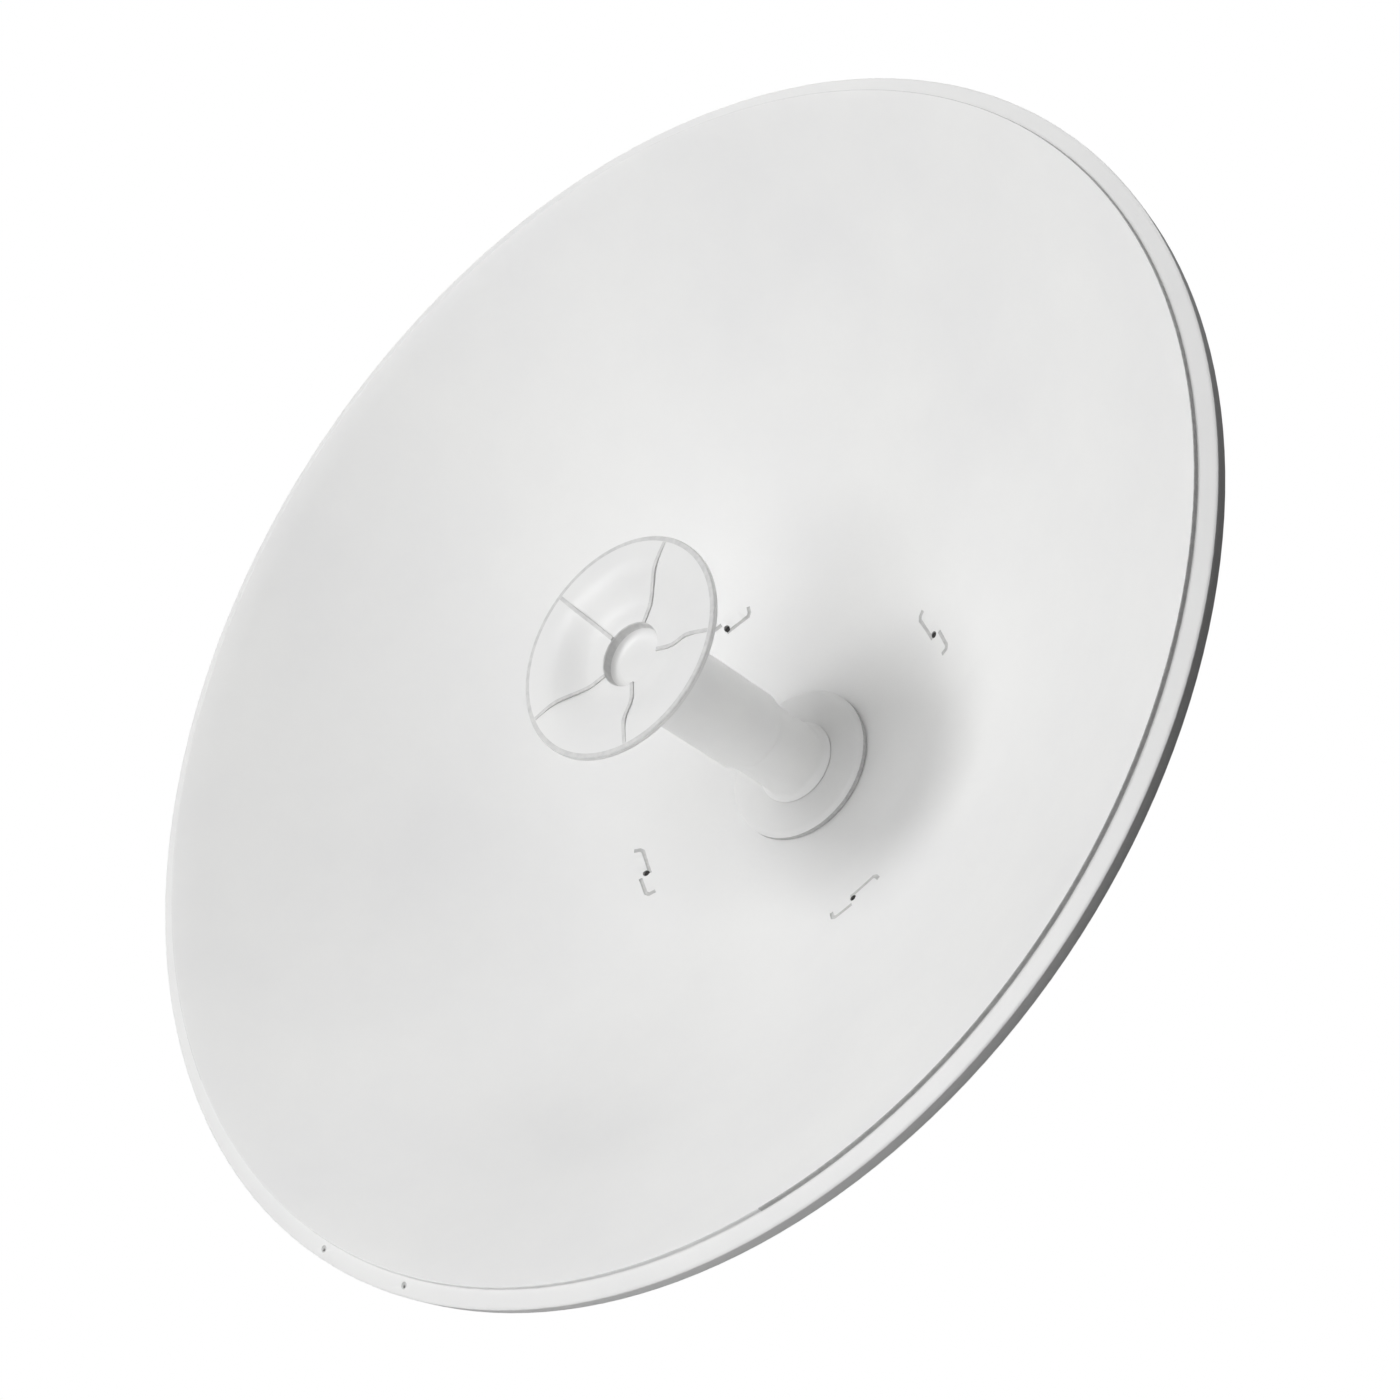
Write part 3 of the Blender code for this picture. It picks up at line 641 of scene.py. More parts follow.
web = RING_INNER + RING_WALL
front_face = [(r, bowl_back(r) - SEAT_GAP)
              for r in (RING_INNER + 0.0006, 0.099, 0.108, RING_OUTER - 0.0008)]
front_rear = [(r, bowl_back(r) - SEAT_GAP - RING_WALL)
              for r in (RING_OUTER - 0.0010, 0.107, web + 0.0030)]
web_front = bowl_back(web) - SEAT_GAP - RING_WALL
profile = list(front_face)
profile += [(RING_OUTER, front_face[-1][1] - 0.0010), (RING_OUTER, front_rear[0][1] + 0.0010)]
profile += front_rear
profile += [
    (web + 0.0009, web_front - 0.0008),
    (web, web_front - 0.0028),
    (web, RING_BACK + RING_WALL + 0.0024),
    (web + 0.0007, RING_BACK + RING_WALL + 0.0007),
    (web + 0.0024, RING_BACK + RING_WALL),
    (RING_OUTER - 0.0010, RING_BACK + RING_WALL),
    (RING_OUTER, RING_BACK + RING_WALL - 0.0010),
    (RING_OUTER, RING_BACK + 0.0008),
    (RING_OUTER - 0.0008, RING_BACK),
    (RING_INNER + 0.0008, RING_BACK),
    (RING_INNER, RING_BACK + 0.0008),
    (RING_INNER, bowl_back(RING_INNER) - SEAT_GAP - 0.0010),
    profile[0],
]
ring = turned("cast_ring", on_axis(0.0), FRONT, profile, ROUND_SIDES, ring=True)
boss_front = bowl_back(STUD_CIRCLE - BOSS_RADIUS) - SEAT_GAP - 0.0010
bosses = [turned("boss", round_axis(STUD_CIRCLE, angle, 0.0), FRONT,
                 [(BOSS_RADIUS + 0.0004, RING_BACK + 0.0006), (BOSS_RADIUS, boss_front)], BOLT_SIDES)
          for angle in STUD_ANGLES]
combine(ring, joined(bosses), "UNION")
ring_ribs = []
rib_outer = RING_OUTER - 0.0030
low = Vector((web - 0.002, RIM_PLANE_Y - bowl_back(web) + 0.0036, -RIB_THICKNESS / 2.0))
high = Vector((rib_outer, RIM_PLANE_Y - RING_BACK - 0.0020, RIB_THICKNESS / 2.0))
for angle in RING_RIB_ANGLES:
    rib = block("ring_rib", low, high)
    choose(rib, "VERT", lambda co: co.x > web and co.y < low.y + NEAR)
    bpy.ops.transform.translate(value=(0.0, bowl_back(web) - bowl_back(rib_outer), 0.0))
    bpy.ops.mesh.select_all(action="SELECT")
    bpy.ops.transform.rotate(value=math.radians(angle), orient_axis="Y", center_override=(0.0, 0.0, 0.0))
    bpy.ops.object.mode_set(mode="OBJECT")
    ring_ribs.append(settle(rib))
combine(ring, joined(ring_ribs), "UNION")
stud_holes = [rod(round_axis(STUD_CIRCLE, angle, RING_BACK), FRONT, STUD_RADIUS + SEAT_GAP,
                  -THROUGH, RING_DRILL, STUD_SIDES) for angle in STUD_ANGLES]
combine(ring, joined(stud_holes), "DIFFERENCE")
settle(ring)
ring.data.materials.append(cast_aluminium)
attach(ring, "root")
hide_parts("mount_ring")


# The back plate: 4 mm laser-cut steel with clipped corners, galvanised after the cheeks are welded on.
# It is open in the middle for the feed's rear end.
PLATE_SIZE = 0.196
PLATE_CORNER = 0.034
HUB_RADIUS = 0.054
HUB_ROOM = 0.002
STEEL_EDGE = 0.0005
BOLT_ROOM = 0.0004

# Hot-dip galvanised steel: cool grey, with the spangle of zinc crystals about 8 mm across, each of
# its own brightness and gloss, on a faintly rippled skin.
galvanised, shader, place = new_material("hot_dip_galvanised_steel", Metallic=0.7, Roughness=0.45)
crystals = add_node(galvanised, "TexVoronoi", {"Vector": place, "Scale": 130.0, "Randomness": 1.0})
add_node(galvanised, "ValToRGB", {"Fac": crystals.outputs["Color"]}, feeds=shader.inputs["Base Color"],
         stops=((0.1, "#9A9DA0"), (0.9, "#B9BCBE")))
add_node(galvanised, "MapRange", {"Value": crystals.outputs["Color"], "To Min": 0.34, "To Max": 0.56},
         feeds=shader.inputs["Roughness"])
ripple = add_node(galvanised, "TexNoise", {"Vector": place, "Scale": 160.0, "Detail": 3.0})
add_node(galvanised, "Bump", {"Height": ripple.outputs["Fac"], "Strength": 0.15, "Distance": 0.0005},
         feeds=shader.inputs["Normal"])


def bevel_edges(piece, size, steps, wanted):
    """Cuts the edges that pass the test to a slope, or to a round of several steps."""
    choose(piece, "EDGE", wanted)
    bpy.ops.mesh.bevel(offset=size, segments=steps, affect="EDGES")
    bpy.ops.object.mode_set(mode="OBJECT")


def soften(piece, width, steps=2):
    """Breaks the piece's sharp edges by a small round."""
    pick(piece)
    modifier = piece.modifiers.new("edges", "BEVEL")
    modifier.width = width
    modifier.segments = steps
    modifier.limit_method = "ANGLE"
    modifier.angle_limit = math.radians(40.0)
    bpy.ops.object.modifier_apply(modifier=modifier.name)
    return settle(piece)


half = PLATE_SIZE / 2.0
plate_rear_y = RIM_PLANE_Y - plate_back
plate = block("back_plate_steel", (-half, plate_rear_y - STEEL, -half), (half, plate_rear_y, half))
bevel_edges(plate, PLATE_CORNER, 1, lambda a, b: abs(a.y - b.y) > NEAR)
soften(plate, STEEL_EDGE)
opening = rod(on_axis(plate_back), FRONT, HUB_RADIUS + HUB_ROOM, -THROUGH, THROUGH, ROUND_SIDES)
combine(plate, opening, "DIFFERENCE")
plate_holes = [rod(round_axis(STUD_CIRCLE, angle, plate_back), FRONT, STUD_RADIUS + BOLT_ROOM,
                   -THROUGH, THROUGH, STUD_SIDES) for angle in STUD_ANGLES]
combine(plate, joined(plate_holes), "DIFFERENCE")
settle(plate)
plate.data.materials.append(galvanised)
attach(plate, "root")
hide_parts("back_plate")


# The stud nuts: M6 hexagon nuts with a flange, zinc plated. Their corners are turned off at 30 degrees.
REAR = Vector((0.0, 1.0, 0.0))
NUT_ACROSS = 0.010
NUT_HEIGHT = 0.005
NUT_SIDES = 48
THREAD_ROOM = 0.0002
# Radius of a fastener's flange, as a share of its width across flats, and where its hexagon begins
FLANGE_SHARE = 0.66
HEXAGON_START = 0.0006


def hexagon(place, direction, across, height):
    """Hexagon bar that stands on the place, with its corners turned off at the far end."""
    heading = Vector(direction)
    corner = across / math.sqrt(3.0)
    inner = 0.47 * across
    slope = (corner - inner) * math.tan(math.radians(30.0))
    bpy.ops.object.select_all(action="DESELECT")
    bpy.ops.mesh.primitive_cylinder_add(vertices=6, radius=corner, depth=height, rotation=facing(heading),
                                        location=Vector(place) + heading * height / 2.0)
    bar = settle(bpy.context.object)
    barrel = turned("barrel", place, heading, [(corner * 1.02, -0.0002), (corner * 1.02, height - slope),
                                               (inner, height + 0.00002)], NUT_SIDES)
    return combine(bar, barrel, "INTERSECT")


def flange_nut(name, place, direction, bore, across, height):
    """Nut that starts at the place with its flange."""
    flange = FLANGE_SHARE * across
    nut = turned(name, place, direction, [(flange - 0.0003, 0.0), (flange, 0.0003), (flange, 0.0008),
                                          (0.52 * across, 0.0016)], NUT_SIDES)
    hexagon_place = Vector(place) + Vector(direction) * HEXAGON_START
    combine(nut, hexagon(hexagon_place, direction, across, height - HEXAGON_START), "UNION")
    combine(nut, rod(place, direction, bore, -0.001, height + 0.001, BOLT_SIDES), "DIFFERENCE")
    return settle(nut)


# Bright zinc plate on steel: smooth and silvery with a faint warm cast, dulled by fingerprints in
# patches about 5 mm across.
zinc_plate, shader, place = new_material("bright_zinc_plated_steel", Metallic=1.0, Roughness=0.3)
film = add_node(zinc_plate, "TexNoise", {"Vector": place, "Scale": 220.0, "Detail": 4.0})
add_node(zinc_plate, "ValToRGB", {"Fac": film.outputs["Fac"]}, feeds=shader.inputs["Base Color"],
         stops=((0.3, "#BDBDB8"), (0.7, "#D2D2CC")))
add_node(zinc_plate, "MapRange", {"Value": film.outputs["Fac"], "To Min": 0.22, "To Max": 0.42},
         feeds=shader.inputs["Roughness"])

nut_plane = plate_back - SEAT_GAP
first_place = round_axis(STUD_CIRCLE, STUD_ANGLES[0], nut_plane)
first_nut = flange_nut("stud_nut_1", first_place, REAR, STUD_RADIUS + THREAD_ROOM, NUT_ACROSS, NUT_HEIGHT)
first_nut.data.materials.append(zinc_plate)
stud_nuts = [first_nut]
for i, angle in enumerate(STUD_ANGLES[1:]):
    shift = round_axis(STUD_CIRCLE, angle, nut_plane) - first_place
    stud_nuts.append(copied(first_nut, "stud_nut_%d" % (i + 2), shift))
for i, nut in enumerate(stud_nuts):
    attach(nut, "root")
    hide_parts("mount_nut_%d" % (i + 1))


# The feed's rear end: a turned aluminium body with a cover held by six small screws. The waveguide's
# two coaxial ports come out of it.
HUB_BACK = -0.176
COVER_SCREWS = 6
COVER_SCREW_CIRCLE = 0.0485
hub_front = pad_front - SHEET - SEAT_GAP
hub = turned("feed_rear_body", on_axis(0.0), FRONT, [
    (0.012, hub_front),
    (PAD_RADIUS - 0.0020, hub_front),
    (HUB_RADIUS - 0.0008, hub_front - 0.0056),
    (HUB_RADIUS, hub_front - 0.0066),
    (HUB_RADIUS, -0.1660),
    (HUB_RADIUS - 0.0012, -0.1665),
    (HUB_RADIUS - 0.0012, -0.1678),
    (HUB_RADIUS, -0.1683),
    (HUB_RADIUS, HUB_BACK + 0.0030),
    (HUB_RADIUS - 0.0009, HUB_BACK + 0.0009),
    (HUB_RADIUS - 0.0030, HUB_BACK),
    (0.0440, HUB_BACK),
    (0.0436, HUB_BACK + 0.0008),
    (0.0420, HUB_BACK + 0.0008),
    (0.0416, HUB_BACK),
    (0.012, HUB_BACK),
], ROUND_SIDES)
hub.data.materials.append(cast_aluminium)
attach(hub, "root")
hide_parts("feed_hub")

screw_places = [round_axis(COVER_SCREW_CIRCLE, 30.0 + 360.0 * i / COVER_SCREWS, HUB_BACK)
                for i in range(COVER_SCREWS)]
first_screw = turned("cover_screw", screw_places[0], REAR, [
    (0.0030, -0.0005), (0.0030, 0.0004), (0.0028, 0.0010), (0.0023, 0.0015), (0.0016, 0.0017),
    (0.0012, 0.0016), (0.0010, 0.0006),
], STUD_SIDES)
first_screw.data.materials.append(zinc_plate)
cover_screws = joined([first_screw] + [copied(first_screw, "cover_screw", spot - screw_places[0])
                                       for spot in screw_places[1:]])
cover_screws.name = "cover_screws"
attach(cover_screws, "root")


# The two ports: threaded coaxial sockets of nickel-plated brass, each with a hexagon foot, a white
# insulator in its bore and a gold-plated pin.
PORT_SPACING = 0.044
PORT_FOOT_HEIGHT = 0.005
PORT_LENGTH = 0.016
PORT_RADIUS = 0.0075
PORT_BORE = 0.0055
PORT_ACROSS = 0.0182
PORT_FLOOR = 0.0085
PORT_PITCH = 0.0011
PORT_SIDES = 40

# Nickel plate on brass: bright, smooth and slightly yellow, with a soft change of tone every 4 mm.
nickel_plate, shader, place = new_material("nickel_plated_brass", Metallic=1.0, Roughness=0.25)
film = add_node(nickel_plate, "TexNoise", {"Vector": place, "Scale": 260.0, "Detail": 3.0})
add_node(nickel_plate, "ValToRGB", {"Fac": film.outputs["Fac"]}, feeds=shader.inputs["Base Color"],
         stops=((0.3, "#C6C2B6"), (0.7, "#D6D2C8")))

# PTFE turned from a bar: waxy pure white, with a hardly visible mottle of 2 mm.
ptfe, shader, place = new_material("white_ptfe", Roughness=0.5, IOR=1.36)
film = add_node(ptfe, "TexNoise", {"Vector": place, "Scale": 500.0, "Detail": 2.0})
add_node(ptfe, "ValToRGB", {"Fac": film.outputs["Fac"]}, feeds=shader.inputs["Base Color"],
         stops=((0.3, "#EFEFEC"), (0.7, "#F5F5F3")))

# Gold flash over brass: warm yellow and bright, a little paler in spots under 2 mm.
gold_plate, shader, place = new_material("gold_plated_brass", Metallic=1.0, Roughness=0.25)
film = add_node(gold_plate, "TexNoise", {"Vector": place, "Scale": 600.0, "Detail": 2.0})
add_node(gold_plate, "ValToRGB", {"Fac": film.outputs["Fac"]}, feeds=shader.inputs["Base Color"],
         stops=((0.3, "#E0B95A"), (0.7, "#EBC870")))

port_base = on_axis(HUB_BACK - SEAT_GAP) + Vector((-PORT_SPACING / 2.0, 0.0, 0.0))
profile = [(PORT_RADIUS, 0.0010), (PORT_RADIUS, PORT_FOOT_HEIGHT + 0.0004)]
profile += thread(PORT_FOOT_HEIGHT + 0.0008, PORT_LENGTH - 0.0008, PORT_RADIUS, PORT_PITCH)
profile += [(PORT_RADIUS - 0.0008, PORT_LENGTH)]
port = turned("port_body_left", port_base, REAR, profile, PORT_SIDES)
combine(port, hexagon(port_base, REAR, PORT_ACROSS, PORT_FOOT_HEIGHT), "UNION")
combine(port, rod(port_base, REAR, PORT_BORE, PORT_FLOOR, PORT_LENGTH + 0.001, PORT_SIDES), "DIFFERENCE")
settle(port)
port.data.materials.append(nickel_plate)
insulator = turned("port_insulator_left", port_base, REAR, [
    (PORT_BORE - 0.0001, 0.0086), (PORT_BORE - 0.0001, 0.0096), (PORT_BORE - 0.0003, 0.0098),
    (0.0034, 0.0098), (0.0032, 0.0112), (0.0022, 0.0114), (0.0020, 0.0106), (0.0019, 0.0086),
    (PORT_BORE - 0.0001, 0.0086),
], BOLT_SIDES, ring=True)
insulator.data.materials.append(ptfe)
pin = turned("port_pin_left", port_base, REAR, [
    (0.0018, 0.0086), (0.0018, 0.0132), (0.0016, 0.0138), (0.0011, 0.0140), (0.0009, 0.0134),
    (0.0009, 0.0115),
], STUD_SIDES)
combine(pin, block("pin_slot", port_base + Vector((-0.0025, 0.0122, -0.00015)),
                   port_base + Vector((0.0025, 0.0150, 0.00015))), "DIFFERENCE")
settle(pin)
pin.data.materials.append(gold_plate)
to_right = (PORT_SPACING, 0.0, 0.0)
for piece, slot_name in ((port, "zinc"), (insulator, "cap_plastic"), (pin, "zinc")):
    twin = copied(piece, piece.name.replace("left", "right"), to_right)
    for part in (piece, twin):
        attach(part, "root")
    if piece is port:
        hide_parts("port_left")
        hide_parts("port_right")


# The cheeks: two 4 mm steel plates welded upright to the back plate. Each has a hole for the pivot and
# a curved slot for tilting, with a scale of punched lines beside it.
CHEEK_GAP = 0.0583
CHEEK_HEIGHT = 0.104
CHEEK_BACK_Y = -0.026
CHEEK_ROUND = 0.016
PIVOT_Y = -0.056
PIVOT_Z = -0.032
PIVOT_BOLT_RADIUS = 0.005
LOCK_BOLT_RADIUS = 0.004
LOCK_RADIUS = 0.064
LOCK_SWING = 16.0
SLOT_REACH = 0.003
SLOT_SIDES = 180
SCALE_STEP = 4.0
MARK_START = 0.0015
LONG_MARK = 0.005
SHORT_MARK = 0.003
MARK_WIDTH = 0.0006
MARK_DEPTH = 0.0004
cheek_front_y = plate_rear_y + SEAT_GAP
half = CHEEK_HEIGHT / 2.0
RIGHT = Vector((1.0, 0.0, 0.0))
pivot = Vector((CHEEK_GAP, PIVOT_Y, PIVOT_Z))


def round_pivot(radius, degrees):
    """Point round the pivot in the right cheek, the angle counted from +Y towards +Z."""
    turn = math.radians(degrees)
    return pivot + Vector((0.0, radius * math.cos(turn), radius * math.sin(turn)))


cheek = block("cheek_plate_right", (CHEEK_GAP, cheek_front_y, -half),
              (CHEEK_GAP + STEEL, CHEEK_BACK_Y, half))
bevel_edges(cheek, CHEEK_ROUND, 6,
            lambda a, b: min(a.y, b.y) > CHEEK_BACK_Y - NEAR and abs(a.x - b.x) > NEAR)
soften(cheek, STEEL_EDGE)
slot_half = LOCK_BOLT_RADIUS + BOLT_ROOM
inner = LOCK_RADIUS - slot_half
outer = LOCK_RADIUS + slot_half
slot = turned("slot", pivot, RIGHT, [
    (inner, -SLOT_REACH),
    (outer, -SLOT_REACH),
    (outer, STEEL + SLOT_REACH),
    (inner, STEEL + SLOT_REACH),
    (inner, -SLOT_REACH),
], SLOT_SIDES, ring=True)
for side in (-1.0, 1.0):
    turn = math.radians(90.0 + side * LOCK_SWING)
    choose(slot, "FACE", lambda centre, normal: True)
    bpy.ops.mesh.bisect(plane_co=pivot, plane_no=(0.0, -side * math.sin(turn), side * math.cos(turn)),
                        use_fill=True, clear_outer=True)
    bpy.ops.object.mode_set(mode="OBJECT")
for side in (-1.0, 1.0):
    end = rod(round_pivot(LOCK_RADIUS, 90.0 + side * LOCK_SWING), RIGHT, slot_half,
              -SLOT_REACH - 0.001, STEEL + SLOT_REACH + 0.001, BOLT_SIDES)
    combine(slot, end, "UNION")
combine(cheek, slot, "DIFFERENCE")
pivot_hole = rod(pivot, RIGHT, PIVOT_BOLT_RADIUS + BOLT_ROOM, -THROUGH, THROUGH, BOLT_SIDES)
combine(cheek, pivot_hole, "DIFFERENCE")
marks = []
for i in range(int(2.0 * LOCK_SWING / SCALE_STEP) + 1):
    degrees = 90.0 - LOCK_SWING + SCALE_STEP * i
    reach = LONG_MARK if i % 2 == 0 else SHORT_MARK
    start = outer + MARK_START
    mark = block("scale_mark",
                 (CHEEK_GAP + STEEL - MARK_DEPTH, PIVOT_Y + start, PIVOT_Z - MARK_WIDTH / 2.0),
                 (CHEEK_GAP + STEEL + 0.001, PIVOT_Y + start + reach, PIVOT_Z + MARK_WIDTH / 2.0))
    choose(mark, "FACE", lambda centre, normal: True)
    bpy.ops.transform.rotate(value=-math.radians(degrees), orient_axis="X", center_override=pivot)
    bpy.ops.object.mode_set(mode="OBJECT")
    marks.append(mark)
combine(cheek, joined(marks), "DIFFERENCE")
settle(cheek)
cheek.data.materials.append(galvanised)


def mirrored(piece, name):
    """Copies a piece to the other side of the dish."""
    twin = copied(piece, name, (0.0, 0.0, 0.0))
    choose(twin, "FACE", lambda centre, normal: True)
    bpy.ops.transform.resize(value=(-1.0, 1.0, 1.0), center_override=(0.0, 0.0, 0.0))
    bpy.ops.mesh.normals_make_consistent(inside=False)
    bpy.ops.object.mode_set(mode="OBJECT")
    return settle(twin)


left_cheek = mirrored(cheek, "cheek_plate_left")
for piece, node in ((cheek, "cheek_right"), (left_cheek, "cheek_left")):
    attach(piece, "root")
    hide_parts(node)

# Fillet welds on both sides of each cheek, with the ripples that the weld pool leaves as it sets
UP = Vector((0.0, 0.0, 1.0))
WELD_HALF = 0.045
WELD_RADIUS = 0.0027
WELD_END = 0.0010
WELD_SIDES = 16
RIPPLE = 0.0022
count = round(2.0 * WELD_HALF / RIPPLE)
profile = [(0.0012, -WELD_HALF - WELD_END)]
for i in range(count):
    along = -WELD_HALF + RIPPLE * i
    profile += [(WELD_RADIUS - 0.0004, along), (WELD_RADIUS, along + 0.6 * RIPPLE)]
profile += [(WELD_RADIUS - 0.0005, WELD_HALF), (0.0012, WELD_HALF + WELD_END)]
beads = []
for side in (-1.0, 1.0):
    for x in (CHEEK_GAP, CHEEK_GAP + STEEL):
        beads.append(turned("weld_beads", (side * x, plate_rear_y, 0.0), UP, profile, WELD_SIDES))
welds = joined(beads)
welds.data.materials.append(galvanised)
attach(welds, "root")


# The pole channel: 4 mm steel bent to a U that fits between the cheeks, galvanised. Its flanges carry
# the pivot and lock bolts, and its web carries the clamp.
CHANNEL_WIDTH = 0.116
CHANNEL_HEIGHT = 0.104
CHANNEL_FRONT_Y = -0.072
CHANNEL_BEND = 0.006
CHANNEL_CORNER = 0.010
CHANNEL_DRILL = 0.08
PAD_THICKNESS = 0.008
CLAMP_BOLT_RADIUS = 0.004
CLAMP_BOLT_X = 0.040
CLAMP_BOLT_Z = 0.024
CLAMP_CORNERS = ((-1, 1), (1, 1), (1, -1), (-1, -1))
web_y = -PAD_THICKNESS - SEAT_GAP
half_width = CHANNEL_WIDTH / 2.0
half = CHANNEL_HEIGHT / 2.0
channel = block("bent_channel", (-half_width, CHANNEL_FRONT_Y, -half), (half_width, web_y, half))
bevel_edges(channel, CHANNEL_BEND, 6,
            lambda a, b: min(a.y, b.y) > web_y - NEAR and abs(a.z - b.z) > NEAR)
choose(channel, "FACE", lambda centre, normal: abs(normal.z) > 0.9 or normal.y < -0.9)
bpy.ops.mesh.delete(type="FACE")
bpy.ops.object.mode_set(mode="OBJECT")
pick(channel)
wall = channel.modifiers.new("wall", "SOLIDIFY")
wall.thickness = STEEL
wall.offset = -1.0
wall.use_even_offset = True
bpy.ops.object.modifier_apply(modifier=wall.name)
bevel_edges(channel, CHANNEL_CORNER, 5,
            lambda a, b: max(a.y, b.y) < CHANNEL_FRONT_Y + NEAR and abs(a.z - b.z) < NEAR
            and abs(abs(a.x) - abs(b.x)) > NEAR and a.x * b.x > 0.0)
soften(channel, STEEL_EDGE)
holes = []
for z, radius in ((PIVOT_Z, PIVOT_BOLT_RADIUS), (PIVOT_Z + LOCK_RADIUS, LOCK_BOLT_RADIUS)):
    holes.append(rod((0.0, PIVOT_Y, z), RIGHT, radius + BOLT_ROOM,
                     -CHANNEL_DRILL, CHANNEL_DRILL, BOLT_SIDES))
for side, rise in CLAMP_CORNERS:
    holes.append(rod((side * CLAMP_BOLT_X, web_y, rise * CLAMP_BOLT_Z), REAR,
                     CLAMP_BOLT_RADIUS + BOLT_ROOM, -THROUGH, THROUGH, BOLT_SIDES))
combine(channel, joined(holes), "DIFFERENCE")
settle(channel)
channel.data.materials.append(galvanised)
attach(channel, "root")
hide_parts("pole_channel")


# The tilting bolts: one M10 bolt right through both cheeks as the pivot, and an M8 bolt in each slot
# that locks the tilt. All are flanged and zinc plated.
M10_ACROSS = 0.017
M10_HEAD = 0.0064
M10_PITCH = 0.0015
M8_ACROSS = 0.013
M8_HEAD = 0.0053
M8_PITCH = 0.00125
PIVOT_TAIL = 0.011
PIVOT_THREAD = 0.021
PIVOT_NUT = 0.008
LOCK_LENGTH = 0.020
LOCK_PLAIN = 0.0085
LOCK_NUT = 0.0065


def flange_bolt(name, place, direction, radius, length, across, head, pitch, plain):
    """Bolt whose head is behind the place. Its shank is plain first, then threaded."""
    heading = Vector(direction)
    flange = FLANGE_SHARE * across
    profile = [(0.45 * across, -0.0017), (flange, -0.0009), (flange, -0.0003), (flange - 0.0003, 0.0),
               (radius + 0.0003, 0.0), (radius, 0.0004), (radius, plain)]
    profile += thread(plain + 0.0004, length - 0.0010, radius, pitch)
    profile += [(radius - 0.0012, length)]
    bolt = turned(name, place, heading, profile, BOLT_SIDES)
    hexagon_place = Vector(place) - heading * HEXAGON_START
    combine(bolt, hexagon(hexagon_place, -heading, across, head - HEXAGON_START), "UNION")
    return settle(bolt)


outer_x = CHEEK_GAP + STEEL + SEAT_GAP
inner_x = half_width - STEEL - SEAT_GAP
lock_z = PIVOT_Z + LOCK_RADIUS
pivot_length = 2.0 * outer_x + PIVOT_TAIL
pivot_bolt = flange_bolt("pivot_bolt_m10", (outer_x, PIVOT_Y, PIVOT_Z), -RIGHT, PIVOT_BOLT_RADIUS,
                         pivot_length, M10_ACROSS, M10_HEAD, M10_PITCH, pivot_length - PIVOT_THREAD)
pivot_nut = flange_nut("pivot_nut_m10", (-outer_x, PIVOT_Y, PIVOT_Z), -RIGHT,
                       PIVOT_BOLT_RADIUS + THREAD_ROOM, M10_ACROSS, PIVOT_NUT)
lock_bolt = flange_bolt("lock_bolt_m8_right", (outer_x, PIVOT_Y, lock_z), -RIGHT, LOCK_BOLT_RADIUS,
                        LOCK_LENGTH, M8_ACROSS, M8_HEAD, M8_PITCH, LOCK_PLAIN)
lock_nut = flange_nut("lock_nut_m8_right", (inner_x, PIVOT_Y, lock_z), -RIGHT,
                      LOCK_BOLT_RADIUS + THREAD_ROOM, M8_ACROSS, LOCK_NUT)
for piece in (pivot_bolt, pivot_nut, lock_bolt, lock_nut):
    piece.data.materials.append(zinc_plate)
left_lock_bolt = mirrored(lock_bolt, "lock_bolt_m8_left")
left_lock_nut = mirrored(lock_nut, "lock_nut_m8_left")
tilting_bolts = (
    (pivot_bolt, "pivot_bolt"),
    (pivot_nut, "pivot_nut"),
    (lock_bolt, "lock_bolt_right"),
    (lock_nut, "lock_nut_right"),
    (left_lock_bolt, "lock_bolt_left"),
    (left_lock_nut, "lock_nut_left"),
)
for piece, node in tilting_bolts:
    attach(piece, "root")
    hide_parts(node)


# The pole pad: an aluminium casting with a flat face that bears on the pole. Shallow grooves across
# the face give it grip.
PAD_WIDTH = 0.044
PAD_HEIGHT = 0.096
PAD_CORNER = 0.004
CAST_EDGE = 0.0010
GRIP_STEP = 0.006
GRIP_RADIUS = 0.0009
GRIP_LIFT = 0.0003
pad = block("cast_pole_pad", (-PAD_WIDTH / 2.0, -PAD_THICKNESS, -PAD_HEIGHT / 2.0),
            (PAD_WIDTH / 2.0, 0.0, PAD_HEIGHT / 2.0))
bevel_edges(pad, PAD_CORNER, 5, lambda a, b: abs(a.y - b.y) > NEAR)
soften(pad, CAST_EDGE, 3)
rows = int(PAD_HEIGHT / GRIP_STEP) - 1
notches = []
for i in range(rows):
    z = GRIP_STEP * (i - (rows - 1) / 2.0)
    notches.append(rod((0.0, GRIP_LIFT, z), RIGHT, GRIP_RADIUS, -PAD_WIDTH, PAD_WIDTH, GROOVE_SIDES))
combine(pad, joined(notches), "DIFFERENCE")
settle(pad)
pad.data.materials.append(cast_aluminium)
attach(pad, "root")
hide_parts("pole_pad")


# The rear jaw: an aluminium casting bent to a V that closes on the pole from behind, with ears for the
# four bolts and toothed slopes.
POLE_RADIUS = 0.024
JAW_HEIGHT = 0.070
MOUTH = 0.028
EAR = 0.052
EAR_CORNER = 0.008
EAR_REACH = 0.022
EAR_THICKNESS = 0.010
JAW_WALL = 0.008
JAW_DRILL = 0.03
FLAT = 0.004
